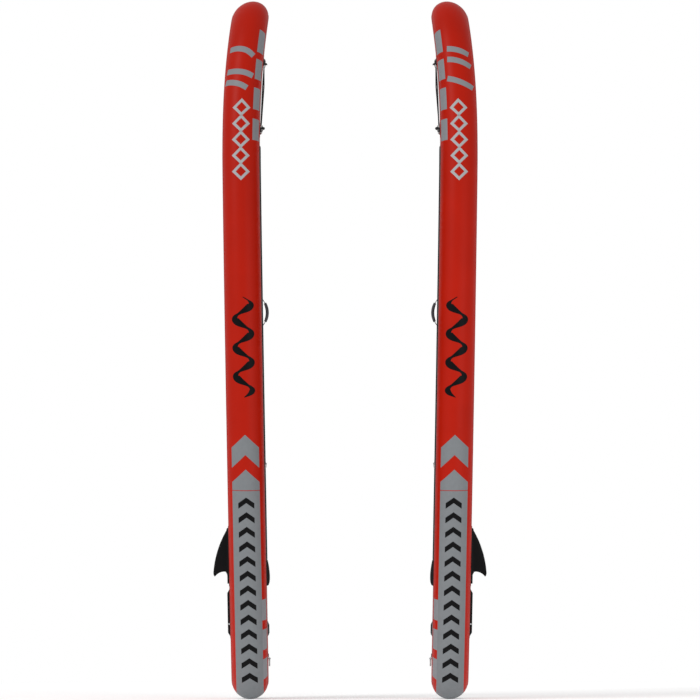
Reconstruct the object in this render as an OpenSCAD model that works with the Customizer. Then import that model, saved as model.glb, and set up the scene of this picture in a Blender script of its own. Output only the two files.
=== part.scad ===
// A pair of inflatable paddleboards, standing on their tails with the decks facing each other.
//
// Each board is drawn in its own frame: X runs from the tail to the nose, Y to the port side and Z out of
// the deck, with Z = 0 at the middle of the thickness where the rocker is lowest. place() stands it up.

/* [Board] */
// Length from the end of the tail to the tip of the nose
board_l = 2900; // [2500:10:3600]
// Greatest width
board_w = 762; // [680:1:900]
// Thickness between the deck and the bottom
board_t = 152; // [120:1:180]
// Width of the straight end of the tail
tail_flat = 200; // [120:1:260]
// Rise of the tail above the lowest point of the rocker
tail_rocker = 39; // [0:1:80]
// Rise of the tip of the nose above the lowest point of the rocker
nose_rocker = 50; // [0:1:120]
// Distance from the nose to the lowest point of the rocker
rocker_from_nose = 650; // [500:10:900]
// Thickness of the coated fabric
skin_t = 1.2; // [0.8:0.1:3]
// Width of the tape over each seam
seam_w = 24; // [15:1:26]
// Thickness of the seam tape
seam_t = 0.8; // [0.5:0.1:2]
// Distance between the two boards, between their lowest points of rocker
pair_gap = 906; // [700:1:1600]

/* [Deck pad] */
// Thickness of the foam pad
pad_t = 5; // [3:0.5:8]
// Distance from the nose to the front of the pad
pad_from_nose = 600; // [560:5:900]
// Distance from the tail to the rear end of the kick pad
kick_from_tail = 472; // [400:2:600]
// Length of the kick pad
kick_l = 104; // [70:2:160]
// Height of the kick pad above the deck
kick_h = 14; // [8:0.5:40]
// Bare strip between the pad and the seam
pad_margin = 45; // [25:1:90]

/* [Carry handle] */
// Distance from the tail to the middle of the handle
handle_from_tail = 1606; // [1400:2:1800]
// Length of the raised part of the strap
handle_l = 120; // [110:1:180]
// Height of the top of the grip above the deck
handle_h = 30; // [28:1:60]
// Width of the strap
handle_w = 38; // [25:1:60]
// Thickness of the strap
strap_t = 3; // [2:0.5:5]
// Thickness of the padded grip
grip_t = 13; // [9:0.5:20]
// Width of the padded grip
grip_w = 50; // [42:1:80]

/* [Rings] */
// Radius of the wire of the seat and bungee rings
ring_wire_r = 2.5; // [1.5:0.1:3.5]
// Inside width of the seat and bungee rings
ring_in_w = 26; // [20:1:40]
// Radius of the wire of the leash ring
leash_wire_r = 3; // [2:0.1:4]
// Inside width of the leash ring
leash_in_w = 34; // [26:1:50]
// Thickness of the webbing loop round a ring
web_t = 1.6; // [1:0.1:3]
// Clearance between a ring and its loop
ring_gap = 0.3; // [0.1:0.05:1]
// Thickness of the round patches
patch_t = 1.5; // [1:0.1:3]
// Radius of the patches
patch_r = 32; // [30:1:45]
// Distance from the tail to the seat rings
seat_from_tail = 976; // [850:2:1200]
// Distance of the seat rings from the centreline
seat_side = 205; // [150:1:220]
// Distance from the tail to the leash ring
leash_from_tail = 166; // [150:1:190]

/* [Bungee] */
// Radius of the elastic cord
cord_r = 2.5; // [1.5:0.1:4]
// Distance from the nose to the front rings
bungee_front = 256; // [240:1:270]
// Distance from the nose to the rear rings
bungee_rear = 535; // [520:1:550]
// Distance of the front rings from the centreline
bungee_front_side = 88; // [84:1:92]
// Distance of the rear rings from the centreline
bungee_rear_side = 150; // [145:1:155]
// Height of a raised ring above the deck, as an angle
ring_tilt = 15; // [12:1:20]
// Angle of the raised rings from the board's length
ring_yaw = 65; // [50:1:80]

/* [Valve] */
// Distance from the tail to the valve
valve_from_tail = 290; // [270:1:330]
// Radius of the flange
flange_r = 31; // [29:0.5:40]
// Height of the flange
flange_h = 3; // [2:0.5:5]
// Outside radius of the barrel
barrel_r = 24; // [22:0.5:25]
// Wall of the barrel
barrel_wall = 3; // [2:0.5:4]
// Depth of the barrel below the deck
barrel_d = 42; // [36:1:60]
// Radius of the push stem
stem_r = 3; // [2:0.1:5]
// Height of the cap above the flange
cap_h = 3.5; // [2:0.5:6]

/* [Fins] */
// Distance from the tail to the rear end of a side fin
fin_from_tail = 480; // [440:2:560]
// Length of the foot of a side fin
fin_l = 228; // [180:2:280]
// Height of a side fin above the bottom
fin_h = 67; // [50:1:110]
// Thickness of a side fin
fin_t = 7; // [5:0.5:9]
// Distance of the side fins from the centreline
fin_side = 170; // [120:1:210]
// Distance from the tail to the rear end of the fin box
box_from_tail = 250; // [230:2:320]
// Length of the fin box
box_l = 214; // [180:2:260]
// Height of the fin box above the bottom
box_h = 12; // [10:0.5:20]
// Width of the slot for a centre fin
slot_w = 9; // [7:0.5:12]
// Radius of the hole for the locking pin
pin_r = 2.5; // [2:0.1:4]

/* [Hidden] */
$fn = 48;
rail_r = board_t / 2;
wide_x = board_l / 2;                       // where the board is widest
rocker_x = board_l - rocker_from_nose;
tail_curve = 1.15;                          // the tail rises almost straight
nose_curve = 2.4;                           // the nose turns up at its end
tall = 4 * board_t;                         // more than any piece is high
rail_steps = 10;                            // facets over the half round of the rail
seam_gap = 0.3;                             // between the threads and the skins
tape_gap = 0.5;                             // between a patch and the seam tape
thread_rows = 22;                           // rows of drop stitch that are drawn
thread_w = 4;                               // one drawn bundle of threads
thread_pitch = 100;
hinge_h = 6;                                // axis of a bending fin above the bottom
base_t = 3;                                 // plate of a fin foot and of the fin box
base_w = 46;
rib_w = 18;
rib_h = 9;
base_end = 12;                              // of the plate past each end of the fin
bend_gap = 0.4;                             // between a fin and its foot
box_w = 64;
ridge_w = 26;
ridge_end = 6;                              // from the end of the plate to the end of the ridge
ridge_ramp = 22;                            // slope at each end of the ridge
slot_end = 20;                              // wall at each end of the slot
pin_h = 7;                                  // pin hole above the bottom
pin_from_end = 34;
gasket_t = 1.5;
nut_h = 8;
nut_w = 10;
floor_t = 3;                                // floor of the valve barrel
seal_t = 2;
seal_gap = 0.1;
head_r = 7;
head_t = 2;
head_d = 13;                                // top of the stem below the deck
floor_hole_r = 3.5;                         // one of the six holes in the floor of the barrel
spring_turns = 5;
spring_wire_r = 0.7;
spring_r = 5;
cap_plug_d = 7;
cap_gap = 0.4;
tether_w = 2.4;
tether_t = 1.2;
cut_gap = 4;                                // between a patch and the edge of the pad round it
tongue_l = 28;
handle_patch_l = 62;
handle_patch_w = 70;
leash_leg = 9;                              // straight sides of the leash ring
knot_r = 6;
grip_share = 0.62;                          // of the arch, that the grip covers

// The bungee's route: distance ahead of (+) or behind (-) the middle of the lacing, distance to port, and
// height above the deck. Across the board it runs over the rings, and on the diagonals it comes out from
// under them. It is knotted behind, in the middle.
lacing = [
    [-133, 0, 16], [-133, 115, 16], [-133, 133, 16], [-134, 138, 16], [-135.5, 141, 13],
    [-135.5, 141.5, 8.5], [-134.5, 139, 5], [-131.5, 134, 4.5], [-125, 128, 5.5], [40, 0, 6],
    [126, -67, 5.5], [131.5, -72, 4.5], [134.5, -77, 5], [135.5, -79.5, 8.5], [135.5, -79, 13],
    [134, -76, 16], [133, -71, 16], [133, -55, 16], [133, 55, 16], [133, 71, 16], [134, 76, 16],
    [135.5, 79, 13], [135.5, 79.5, 8.5], [134.5, 77, 5], [131.5, 72, 4.5], [126, 67, 5.5],
    [40, 0, 11.5], [-125, -128, 5.5], [-131.5, -134, 4.5], [-134.5, -139, 5], [-135.5, -141.5, 8.5],
    [-135.5, -141, 13], [-134, -138, 16], [-133, -133, 16], [-133, -115, 16], [-133, -2, 16]
];
lacing_x = board_l - (bungee_front + bungee_rear) / 2;

PIECES = [
    "deck_skin", "bottom_skin", "rail_wall", "drop_stitch_threads", "deck_seam_tape", "bottom_seam_tape",
    "deck_pad", "kick_pad", "bungee_cord", "bungee_patches", "bungee_rings", "handle_patches",
    "handle_strap", "handle_grip", "seat_ring_patches", "seat_ring_port", "seat_ring_starboard",
    "leash_patch", "leash_ring", "valve_body", "valve_gasket", "valve_nut", "valve_stem", "valve_spring",
    "valve_cap", "valve_cap_tether", "fin_box", "fin_bases", "fin_port", "fin_starboard"
];
SIDES = ["left", "right"];
NODES = [for (side = SIDES) for (piece = PIECES) str(side, "_", piece)];
node = "all";

// ---- the board's outline, rocker and edge ----

// Height of the middle of the thickness at a distance from the tail
function rocker(x) = x < rocker_x
    ? tail_rocker * pow((rocker_x - x) / rocker_x, tail_curve)
    : nose_rocker * pow((x - rocker_x) / rocker_from_nose, nose_curve);

// Directions of the edge, from abeam to straight ahead
turns = concat([for (a = [0:2.5:17.5]) a], [for (a = [20:7:90]) a]);
reach = wide_x - rail_r;                    // from the widest point to the end of the flat deck
half = board_w / 2 - rail_r;                // half width of the flat deck
shoulder = half - tail_flat / 2;

// Each edge point holds x, y and the direction of the rail there. The edge is two quarter ellipses a side.
function nose_point(a) =
    let (u = atan2(reach * sin(a), half * cos(a)))
    [wide_x + reach * sin(u), half * cos(u), sin(a), cos(a)];
function tail_point(a) =
    let (u = atan2(reach * sin(a), shoulder * cos(a)))
    [wide_x - reach * sin(u), tail_flat / 2 + shoulder * cos(u), -sin(a), cos(a)];

last = len(turns) - 1;
port_edge = concat(
    [for (i = [last:-1:1]) tail_point(turns[i])],
    [for (i = [0:last - 1]) nose_point(turns[i])]);
tip = nose_point(90);
edge = concat(
    port_edge, [tip],
    [for (i = [len(port_edge) - 1:-1:0])
        let (e = port_edge[i]) [e[0], -e[1], e[2], -e[3]]]);
stations = concat([for (e = port_edge) e[0]], [tip[0]]);
profile = [for (x = stations) [x, rocker(x)]];

// The skins are straight between stations, so what is fixed to them follows the same line
function mid_z(x) = lookup(x, profile);
function slope(x) = atan((mid_z(x + 15) - mid_z(x - 15)) / 30);
function deck_z(x) = mid_z(x) + rail_r;
function outline(d) = [for (e = edge) [e[0] + d * e[2], e[1] + d * e[3]]];

// ---- general shapes ----

// A layer that follows the rocker, between two heights over the middle of the thickness
module layer(low, high) {
    n = len(stations) - 1;
    rotate([90, 0, 0])
        linear_extrude(2 * board_w, center = true)
            polygon(concat(
                [for (x = stations) [x, mid_z(x) + high]],
                [for (i = [n:-1:0]) [stations[i], mid_z(stations[i]) + low]]));
}

// Everything inside the outline of the flat deck, moved out by d
module plan(d = 0) {
    linear_extrude(tall, center = true) polygon(outline(d));
}

// A pill shape, from x1 to x2 along the board
module pill(x1, x2, w) {
    linear_extrude(tall, center = true) {
        translate([x1 + w / 2, -w / 2]) square([x2 - x1 - w, w]);
        for (x = [x1 + w / 2, x2 - w / 2]) translate([x, 0]) circle(w / 2);
    }
}

module on_deck(x, y, h = 0) {
    translate([x, y, deck_z(x)]) rotate([0, -slope(x), 0]) translate([0, 0, h]) children();
}

// Turned over, so that the children's Z points away from the bottom
module on_bottom(x, y) {
    translate([x, y, mid_z(x) - rail_r]) rotate([180, -slope(x), 0]) children();
}

module along_y(r, l) {
    rotate([90, 0, 0]) cylinder(r = r, h = l, center = true);
}

module along_x(r, l) {
    rotate([0, 90, 0]) cylinder(r = r, h = l, center = true);
}

function unit(v) = v / norm(v);

// A direction square to each of dirs, carried along from the first so that it doesn't twist
function carried(dirs, side, i = 0) = i == len(dirs) ? [] :
    let (s = unit(side - (side * dirs[i]) * dirs[i]))
    concat([s], carried(dirs, s, i + 1));

// A tube swept along a list of points, with flat ends
module tube(points, r, sides) {
    n = len(points);
    dirs = [for (i = [0:n - 1]) unit(points[min(i + 1, n - 1)] - points[max(i - 1, 0)])];
    across = carried(dirs, cross(dirs[0], [0, 0, 1]));
    rings = [for (i = [0:n - 1]) for (k = [0:sides - 1])
        points[i] + r * cos(360 * k / sides) * across[i]
            + r * sin(360 * k / sides) * cross(across[i], dirs[i])];
    walls = [for (i = [0:n - 2]) for (k = [0:sides - 1])
        let (j = (k + 1) % sides)
        [i * sides + k, i * sides + j, (i + 1) * sides + j, (i + 1) * sides + k]];
    polyhedron(
        rings,
        concat(
            [for (w = walls) [w[0], w[1], w[2]]], [for (w = walls) [w[0], w[2], w[3]]],
            [[for (k = [sides - 1:-1:0]) k]],
            [[for (k = [0:sides - 1]) (n - 1) * sides + k]]));
}

// A ring whose straight bar lies on the Y axis, with its bow towards -X
module d_ring(in_w, wire_r, leg = 0) {
    bow_r = in_w / 2 + wire_r;
    along_y(wire_r, 2 * bow_r);
    translate([-leg, 0, 0])
        rotate([0, 0, 90]) rotate_extrude(angle = 180) translate([bow_r, 0]) circle(wire_r);
    for (s = [-1, 1]) translate([0, s * bow_r, 0]) {
        sphere(wire_r);
        if (leg > 0) translate([-leg / 2, 0, 0]) along_x(wire_r, leg);
    }
}

function bar_h(wire_r) = patch_t + web_t + ring_gap + wire_r;   // a ring's bar above the deck

// The folded webbing that holds a ring's bar, standing on its patch, with a tongue towards +X
module ring_loop(in_w, wire_r) {
    w = in_w - 2;
    hole_r = wire_r + ring_gap;
    axis_h = bar_h(wire_r);
    difference() {
        union() {
            translate([0, 0, axis_h]) along_y(hole_r + web_t, w);
            translate([-hole_r - web_t, -w / 2, patch_t]) cube([patch_r * 0.8, w, web_t]);
        }
        translate([0, 0, axis_h]) along_y(hole_r, 2 * w);
    }
}

// A patch ends short of the seam tape
module round_patch(x, y, r) {
    intersection() {
        layer(rail_r, rail_r + patch_t);
        translate([x, y, 0]) cylinder(r = r, h = tall, center = true);
        plan(-seam_w - tape_gap);
    }
}

// ---- hull ----

module deck_skin() {
    color("firebrick") difference() {
        intersection() {
            layer(rail_r - skin_t, rail_r);
            plan();
        }
        on_deck(valve_from_tail, 0) cylinder(r = barrel_r + cap_gap, h = board_t / 2, center = true);
    }
}

module bottom_skin() {
    color("firebrick") intersection() {
        layer(-rail_r, skin_t - rail_r);
        plan();
    }
}

// The half round wall between the two skins, swept round the outline as one hollow strip
module rail_wall() {
    n = len(edge);
    arc = [for (k = [0:rail_steps]) 180 * k / rail_steps - 90];
    section = concat(
        [for (a = arc) rail_r * [cos(a), sin(a)]],
        [for (k = [rail_steps:-1:0]) (rail_r - skin_t) * [cos(arc[k]), sin(arc[k])]]);
    m = len(section);
    points = [for (e = edge) for (s = section)
        let (x = e[0] + s[0] * e[2]) [x, e[1] + s[0] * e[3], s[1] + rail_z(x)]];
    quads = [for (i = [0:n - 1]) for (k = [0:m - 1])
        let (i2 = (i + 1) % n, k2 = (k + 1) % m)
        [i * m + k, i2 * m + k, i2 * m + k2, i * m + k2]];
    color("firebrick") polyhedron(
        points,
        concat([for (q = quads) [q[0], q[1], q[2]]], [for (q = quads) [q[0], q[2], q[3]]]));
}

// The rail reaches past the stations at both ends, where the rocker itself is used
function rail_z(x) = x < stations[0] || x > tip[0] ? rocker(x) : mid_z(x);

// Bundles of the threads that hold the two skins parallel, clear of the valve
module drop_stitch_threads() {
    h = board_t - 2 * skin_t - 2 * seam_gap;
    pitch = (tip[0] - stations[0] - 2 * thread_pitch) / (thread_rows - 1);
    color("white")
        for (i = [0:thread_rows - 1], j = [-2:2])
            let (x = stations[0] + thread_pitch + i * pitch, y = j * thread_pitch)
                if (in_deck(x, y) && abs(x - valve_from_tail) + abs(y) > 60)
                    translate([x - thread_w / 2, y - thread_w / 2, mid_z(x) - h / 2])
                        cube([thread_w, thread_w, h]);
}

// Is a point well inside the flat deck?
function in_deck(x, y) =
    let (u = (x - wide_x) / reach, room = sqrt(max(0, 1 - u * u)))
    abs(y) < (x < wide_x ? tail_flat / 2 + shoulder * room : half * room) - thread_w - skin_t;

module seam_tape(low, high) {
    intersection() {
        layer(low, high);
        difference() {
            plan();
            plan(-seam_w);
        }
    }
}

module deck_seam_tape() {
    color("darkred") seam_tape(rail_r, rail_r + seam_t);
}

module bottom_seam_tape() {
    color("darkred") seam_tape(-rail_r - seam_t, -rail_r);
}

// ---- deck pad ----

// The strip of deck that the pads cover, between two distances from the tail
module pad_area(x1, x2) {
    side = [for (e = port_edge) if (e[0] > x1 - 300 && e[0] < x2 + 300)
        [e[0] - pad_margin * e[2], e[1] - pad_margin * e[3]]];
    n = len(side) - 1;
    intersection() {
        linear_extrude(tall, center = true)
            polygon(concat(side, [for (i = [n:-1:0]) [side[i][0], -side[i][1]]]));
        translate([x1, -board_w / 2, -tall / 2]) cube([x2 - x1, board_w, tall]);
    }
}

module deck_pad() {
    x1 = kick_from_tail + kick_l;
    x2 = board_l - pad_from_nose;
    front_r = board_w;
    color("dimgray") difference() {
        intersection() {
            layer(rail_r, rail_r + pad_t);
            pad_area(x1, x2);
            union() {
                translate([x2 - front_r, 0, 0]) cylinder(r = front_r, h = tall, center = true);
                translate([x1, -board_w / 2, -tall / 2]) cube([x2 - x1 - front_r, board_w, tall]);
            }
        }
        for (s = [-1, 1])
            translate([seat_from_tail, s * seat_side, 0])
                cylinder(r = patch_r + cut_gap, h = tall, center = true);
        handle_area(cut_gap);
    }
}

// The patches of the handle and the deck between them, moved out by d
module handle_area(d = 0) {
    reach_x = handle_l / 2 + handle_patch_l + d;
    pill(handle_from_tail - reach_x, handle_from_tail + reach_x, handle_patch_w + 2 * d);
}

// A low wedge that the rear foot finds, highest near its rear end
module kick_pad() {
    x1 = kick_from_tail;
    x2 = kick_from_tail + kick_l;
    top = [for (t = [0:0.125:1])
        let (x = x1 + t * kick_l, h = pad_t + (kick_h - pad_t) * pow(sin(180 * pow(t, 0.6)), 0.7))
        [x, deck_z(x) + h]];
    color("dimgray") intersection() {
        rotate([90, 0, 0])
            linear_extrude(board_w, center = true)
                polygon(concat([[x1, deck_z(x1)]], top, [[x2, deck_z(x2)]]));
        pad_area(x1, x2);
    }
}

// ---- bungee ----

module bungee_cord() {
    route = [for (p = lacing) [lacing_x + p[0], p[1], deck_z(lacing_x + p[0]) + p[2]]];
    color("black") {
        tube(route, cord_r, 8);
        translate(route[0]) sphere(knot_r);
    }
}

// The four places of the bungee's rings: x, y, and the way their bow points
bungee_spots = [for (s = [-1, 1])
    for (end = [[board_l - bungee_front, bungee_front_side, 1], [board_l - bungee_rear, bungee_rear_side, -1]])
        [end[0], s * end[1], s * end[2] * ring_yaw + (end[2] < 0 ? 180 : 0)]];

module bungee_patches() {
    color("firebrick") for (p = bungee_spots) {
        round_patch(p[0], p[1], patch_r);
        on_deck(p[0], p[1]) rotate([0, 0, p[2]]) ring_loop(ring_in_w, ring_wire_r);
    }
}

module bungee_rings() {
    color("silver") for (p = bungee_spots)
        on_deck(p[0], p[1], bar_h(ring_wire_r)) rotate([0, ring_tilt, p[2]])
            d_ring(ring_in_w, ring_wire_r);
}

// ---- carry handle ----

strap_top = handle_h - (grip_t - strap_t) / 2;          // outer face of the strap at the crown
arch_r = (pow(handle_l / 2, 2) + pow(strap_top - patch_t, 2)) / (2 * (strap_top - patch_t));
arch_angle = asin(handle_l / 2 / arch_r);

// Turns a section about the centre of the arch, through an angle each side of the crown
module arch(angle) {
    translate([0, 0, strap_top - arch_r])
        rotate([90, 0, 0]) rotate([0, 0, 90 - angle]) rotate_extrude(angle = 2 * angle) children();
}

module handle_patches() {
    color("firebrick") for (s = [-1, 1]) intersection() {
        layer(rail_r, rail_r + patch_t);
        handle_area();
        translate([handle_from_tail + s * (handle_l + handle_patch_l) / 2, 0, 0])
            cube([handle_patch_l, handle_patch_w, tall], center = true);
    }
}

// The strap is one band: an arch, and a tongue at each end that lies on its patch
module handle_strap() {
    foot = handle_l / 2 - strap_t;
    color("black") on_deck(handle_from_tail, 0) rotate([90, 0, 0])
        linear_extrude(handle_w, center = true) {
            intersection() {
                translate([0, strap_top - arch_r]) difference() {
                    circle(arch_r);
                    circle(arch_r - strap_t);
                }
                translate([-handle_l, patch_t]) square([2 * handle_l, handle_h]);
            }
            for (x = [-foot - tongue_l, foot]) translate([x, patch_t]) square([tongue_l, strap_t]);
        }
}

module handle_grip() {
    color("dimgray") on_deck(handle_from_tail, 0)
        arch(arch_angle * grip_share) translate([arch_r - strap_t / 2, 0]) difference() {
            rounded_square(grip_t, grip_w, grip_t / 2 - 0.5);
            square([strap_t, handle_w], center = true);
        }
}

module rounded_square(x, y, r) {
    square([x - 2 * r, y], center = true);
    square([x, y - 2 * r], center = true);
    for (i = [-1, 1], j = [-1, 1]) translate([i * (x / 2 - r), j * (y / 2 - r)]) circle(r);
}

// ---- seat and leash rings ----

module seat_ring_patches() {
    color("firebrick") for (s = [-1, 1]) {
        round_patch(seat_from_tail, s * seat_side, patch_r);
        on_deck(seat_from_tail, s * seat_side) ring_loop(ring_in_w, ring_wire_r);
    }
}

module seat_ring(s) {
    color("silver") on_deck(seat_from_tail, s * seat_side, bar_h(ring_wire_r))
        d_ring(ring_in_w, ring_wire_r);
}

module leash_patch() {
    color("firebrick") {
        round_patch(leash_from_tail, 0, patch_r);
        on_deck(leash_from_tail, 0) ring_loop(leash_in_w, leash_wire_r);
    }
}

module leash_ring() {
    color("silver") on_deck(leash_from_tail, 0, bar_h(leash_wire_r))
        d_ring(leash_in_w, leash_wire_r, leash_leg);
}

// ---- valve, drawn with its axis on Z and the deck at Z = 0 ----

floor_z = -barrel_d + floor_t;

module valve_body() {
    color("gray") on_deck(valve_from_tail, 0) difference() {
        union() {
            cylinder(r = flange_r, h = flange_h);
            translate([0, 0, -barrel_d]) cylinder(r = barrel_r, h = barrel_d + flange_h / 2);
        }
        translate([0, 0, floor_z]) cylinder(r = barrel_r - barrel_wall, h = barrel_d + flange_h);
        cylinder(r = stem_r + ring_gap, h = 3 * barrel_d, center = true);
        for (a = [0:60:300]) rotate([0, 0, a]) translate([(stem_r + barrel_r - barrel_wall) / 2, 0, 0])
            cylinder(r = floor_hole_r, h = 3 * barrel_d, center = true);
    }
}

module valve_gasket() {
    color("black") on_deck(valve_from_tail, 0, -skin_t - gasket_t) difference() {
        cylinder(r = flange_r, h = gasket_t);
        cylinder(r = barrel_r + seal_gap, h = 3 * gasket_t, center = true);
    }
}

module valve_nut() {
    color("gray") on_deck(valve_from_tail, 0, -skin_t - gasket_t - nut_h) difference() {
        cylinder(r = barrel_r + nut_w, h = nut_h);
        cylinder(r = barrel_r + seal_gap, h = 3 * nut_h, center = true);
        for (a = [0:45:315]) rotate([0, 0, a]) translate([barrel_r + nut_w, 0, 0])
            cylinder(r = 3, h = 3 * nut_h, center = true);
    }
}

// The push stem: a button on top, a rod through the floor, and the seal that closes the floor's holes
module valve_stem() {
    seal_z = -barrel_d - seal_gap - seal_t;
    color("lightgray") on_deck(valve_from_tail, 0) {
        translate([0, 0, -head_d - head_t]) cylinder(r = head_r, h = head_t);
        translate([0, 0, seal_z]) cylinder(r = stem_r, h = -head_d - seal_z - head_t / 2);
        translate([0, 0, seal_z]) cylinder(r = barrel_r - 2 * barrel_wall, h = seal_t);
    }
}

module valve_spring() {
    low = floor_z + spring_wire_r + 0.1;
    high = -head_d - head_t - spring_wire_r - 0.1;
    steps = spring_turns * 10;
    color("silver") on_deck(valve_from_tail, 0)
        tube(
            [for (i = [0:steps]) [
                spring_r * cos(36 * i), spring_r * sin(36 * i), low + (high - low) * i / steps]],
            spring_wire_r, 6);
}

module valve_cap() {
    color("black") on_deck(valve_from_tail, 0) {
        translate([0, 0, flange_h]) cylinder(r = barrel_r + 1, h = cap_h);
        difference() {
            translate([0, 0, -cap_plug_d])
                cylinder(r = barrel_r - barrel_wall - cap_gap, h = cap_plug_d + flange_h + cap_h / 2);
            translate([0, 0, -2 * cap_plug_d])
                cylinder(r = barrel_r - 2 * barrel_wall, h = 2 * cap_plug_d + flange_h);
        }
        translate([-barrel_r * 0.8, -2, flange_h + cap_h - 1]) cube([barrel_r * 1.6, 4, 3]);
    }
}

// A soft ring that lies round the cap, with a strap over the edge of the flange
module valve_cap_tether() {
    inner = barrel_r + 1 + cap_gap;
    color("black") on_deck(valve_from_tail, 0, flange_h) difference() {
        union() {
            cylinder(r = inner + tether_w, h = tether_t);
            translate([0, -4, 0]) cube([inner + 2 * tether_w, 8, tether_t]);
        }
        cylinder(r = inner, h = 3 * tether_t, center = true);
    }
}

// ---- fins ----

// A bar along X, of height h between its sloped ends
module ramped(l, w, h) {
    side = [[-l / 2, -h], [-l / 2, 1], [ridge_ramp - l / 2, h], [l / 2 - ridge_ramp, h], [l / 2, 1], [l / 2, -h]];
    rotate([90, 0, 0]) translate([0, 0, -w / 2]) linear_extrude(w) polygon(side);
}

// The box of the middle fin: a plate and a slotted ridge, with a hole for a pin across it
module fin_box() {
    x1 = box_from_tail;
    x2 = box_from_tail + box_l;
    mid = (x1 + x2) / 2;
    ridge = box_l - 2 * ridge_end;
    slot = ridge - 2 * slot_end;
    color("black") difference() {
        union() {
            intersection() {
                layer(-rail_r - base_t, -rail_r);
                pill(x1, x2, box_w);
            }
            intersection() {
                layer(-rail_r - box_h, -rail_r);
                on_bottom(mid, 0) ramped(ridge, ridge_w, box_h + 2);
            }
        }
        on_bottom(mid, 0) {
            translate([-slot / 2, -slot_w / 2, base_t]) cube([slot, slot_w, 2 * box_h]);
            translate([pin_from_end - slot / 2, 0, pin_h]) along_y(pin_r, 2 * ridge_w);
        }
    }
}

fin_mid = fin_from_tail + fin_l / 2;

// The feet of the side fins: a plate that follows the bottom, and a rib with a trough for the fin
module fin_bases() {
    trough = fin_t / 2 + bend_gap;
    color("black") for (s = [-1, 1]) difference() {
        translate([0, s * fin_side, 0]) {
            intersection() {
                layer(-rail_r - base_t, -rail_r);
                pill(fin_from_tail - base_end, fin_from_tail + fin_l + base_end, base_w);
            }
            intersection() {
                layer(-rail_r - rib_h, -rail_r);
                translate([fin_mid, 0, 0]) cube([fin_l, rib_w, tall], center = true);
            }
        }
        on_bottom(fin_mid, s * fin_side) translate([0, 0, hinge_h]) {
            along_x(trough, 2 * fin_l);
            translate([-fin_l, -trough - 1, 0]) cube([2 * fin_l, 2 * trough + 2, rib_h]);
        }
    }
}

function bend(p, q, r, n) = [for (i = [0:n]) let (t = i / n)
    pow(1 - t, 2) * p + 2 * t * (1 - t) * q + t * t * r];

// A raked blade: the leading edge bows out to a tip near the tail, and the trailing edge is hollow.
// It is drawn about the axis that it bends on, with its height along Z and its length along X.
module fin_blade() {
    up = fin_h - hinge_h;
    foot = fin_l / 2;
    nose = [foot, 0];
    tip_front = [-foot + 46, up];
    tip_back = [-foot + 30, up - 6];
    heel = [-foot + 50, up * 0.18];
    blade = concat(
        bend(nose, [foot * 0.25, up * 0.86], tip_front, 8),
        bend(tip_front, [-foot + 34, up + 1], tip_back, 4),
        bend(tip_back, [-foot + 52, up * 0.62], heel, 6),
        bend(heel, [-foot + 40, 0], [-foot, 0], 4));
    rotate([90, 0, 0]) linear_extrude(fin_t, center = true) polygon(blade);
    along_x(fin_t / 2, fin_l);
}

module fin(s) {
    color("black") on_bottom(fin_mid, s * fin_side) translate([0, 0, hinge_h]) fin_blade();
}

// ---- the pair ----

// Stands a board on its tail: the left one has its deck to the right, and the right one is turned half round
module place(side) {
    rotate([0, 0, side == "left" ? 0 : 180])
        translate([-pair_gap / 2, 0, 0]) rotate([180, -90, 0]) children();
}

function wanted(side, piece) = node == "all" || node == str(side, "_", piece);

for (side = SIDES) place(side) {
    if (wanted(side, "deck_skin")) deck_skin();
    if (wanted(side, "bottom_skin")) bottom_skin();
    if (wanted(side, "rail_wall")) rail_wall();
    if (wanted(side, "drop_stitch_threads")) drop_stitch_threads();
    if (wanted(side, "deck_seam_tape")) deck_seam_tape();
    if (wanted(side, "bottom_seam_tape")) bottom_seam_tape();
    if (wanted(side, "deck_pad")) deck_pad();
    if (wanted(side, "kick_pad")) kick_pad();
    if (wanted(side, "bungee_cord")) bungee_cord();
    if (wanted(side, "bungee_patches")) bungee_patches();
    if (wanted(side, "bungee_rings")) bungee_rings();
    if (wanted(side, "handle_patches")) handle_patches();
    if (wanted(side, "handle_strap")) handle_strap();
    if (wanted(side, "handle_grip")) handle_grip();
    if (wanted(side, "seat_ring_patches")) seat_ring_patches();
    if (wanted(side, "seat_ring_port")) seat_ring(1);
    if (wanted(side, "seat_ring_starboard")) seat_ring(-1);
    if (wanted(side, "leash_patch")) leash_patch();
    if (wanted(side, "leash_ring")) leash_ring();
    if (wanted(side, "valve_body")) valve_body();
    if (wanted(side, "valve_gasket")) valve_gasket();
    if (wanted(side, "valve_nut")) valve_nut();
    if (wanted(side, "valve_stem")) valve_stem();
    if (wanted(side, "valve_spring")) valve_spring();
    if (wanted(side, "valve_cap")) valve_cap();
    if (wanted(side, "valve_cap_tether")) valve_cap_tether();
    if (wanted(side, "fin_box")) fin_box();
    if (wanted(side, "fin_bases")) fin_bases();
    if (wanted(side, "fin_port")) fin(1);
    if (wanted(side, "fin_starboard")) fin(-1);
}
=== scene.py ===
"""Looks for a pair of inflatable paddleboards that stand on their tails with the decks facing each other.

Each board is worked out in its own frame, as in the CAD: x from the tail to the nose, y to the port side
and z out of the deck, in metres, with z = 0 at the middle of the thickness at the lowest point of the
rocker. world() stands a board up.
"""

import math

import bmesh
import bpy
import numpy as np
from mathutils import Matrix, Vector
from mathutils.geometry import tessellate_polygon

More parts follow.
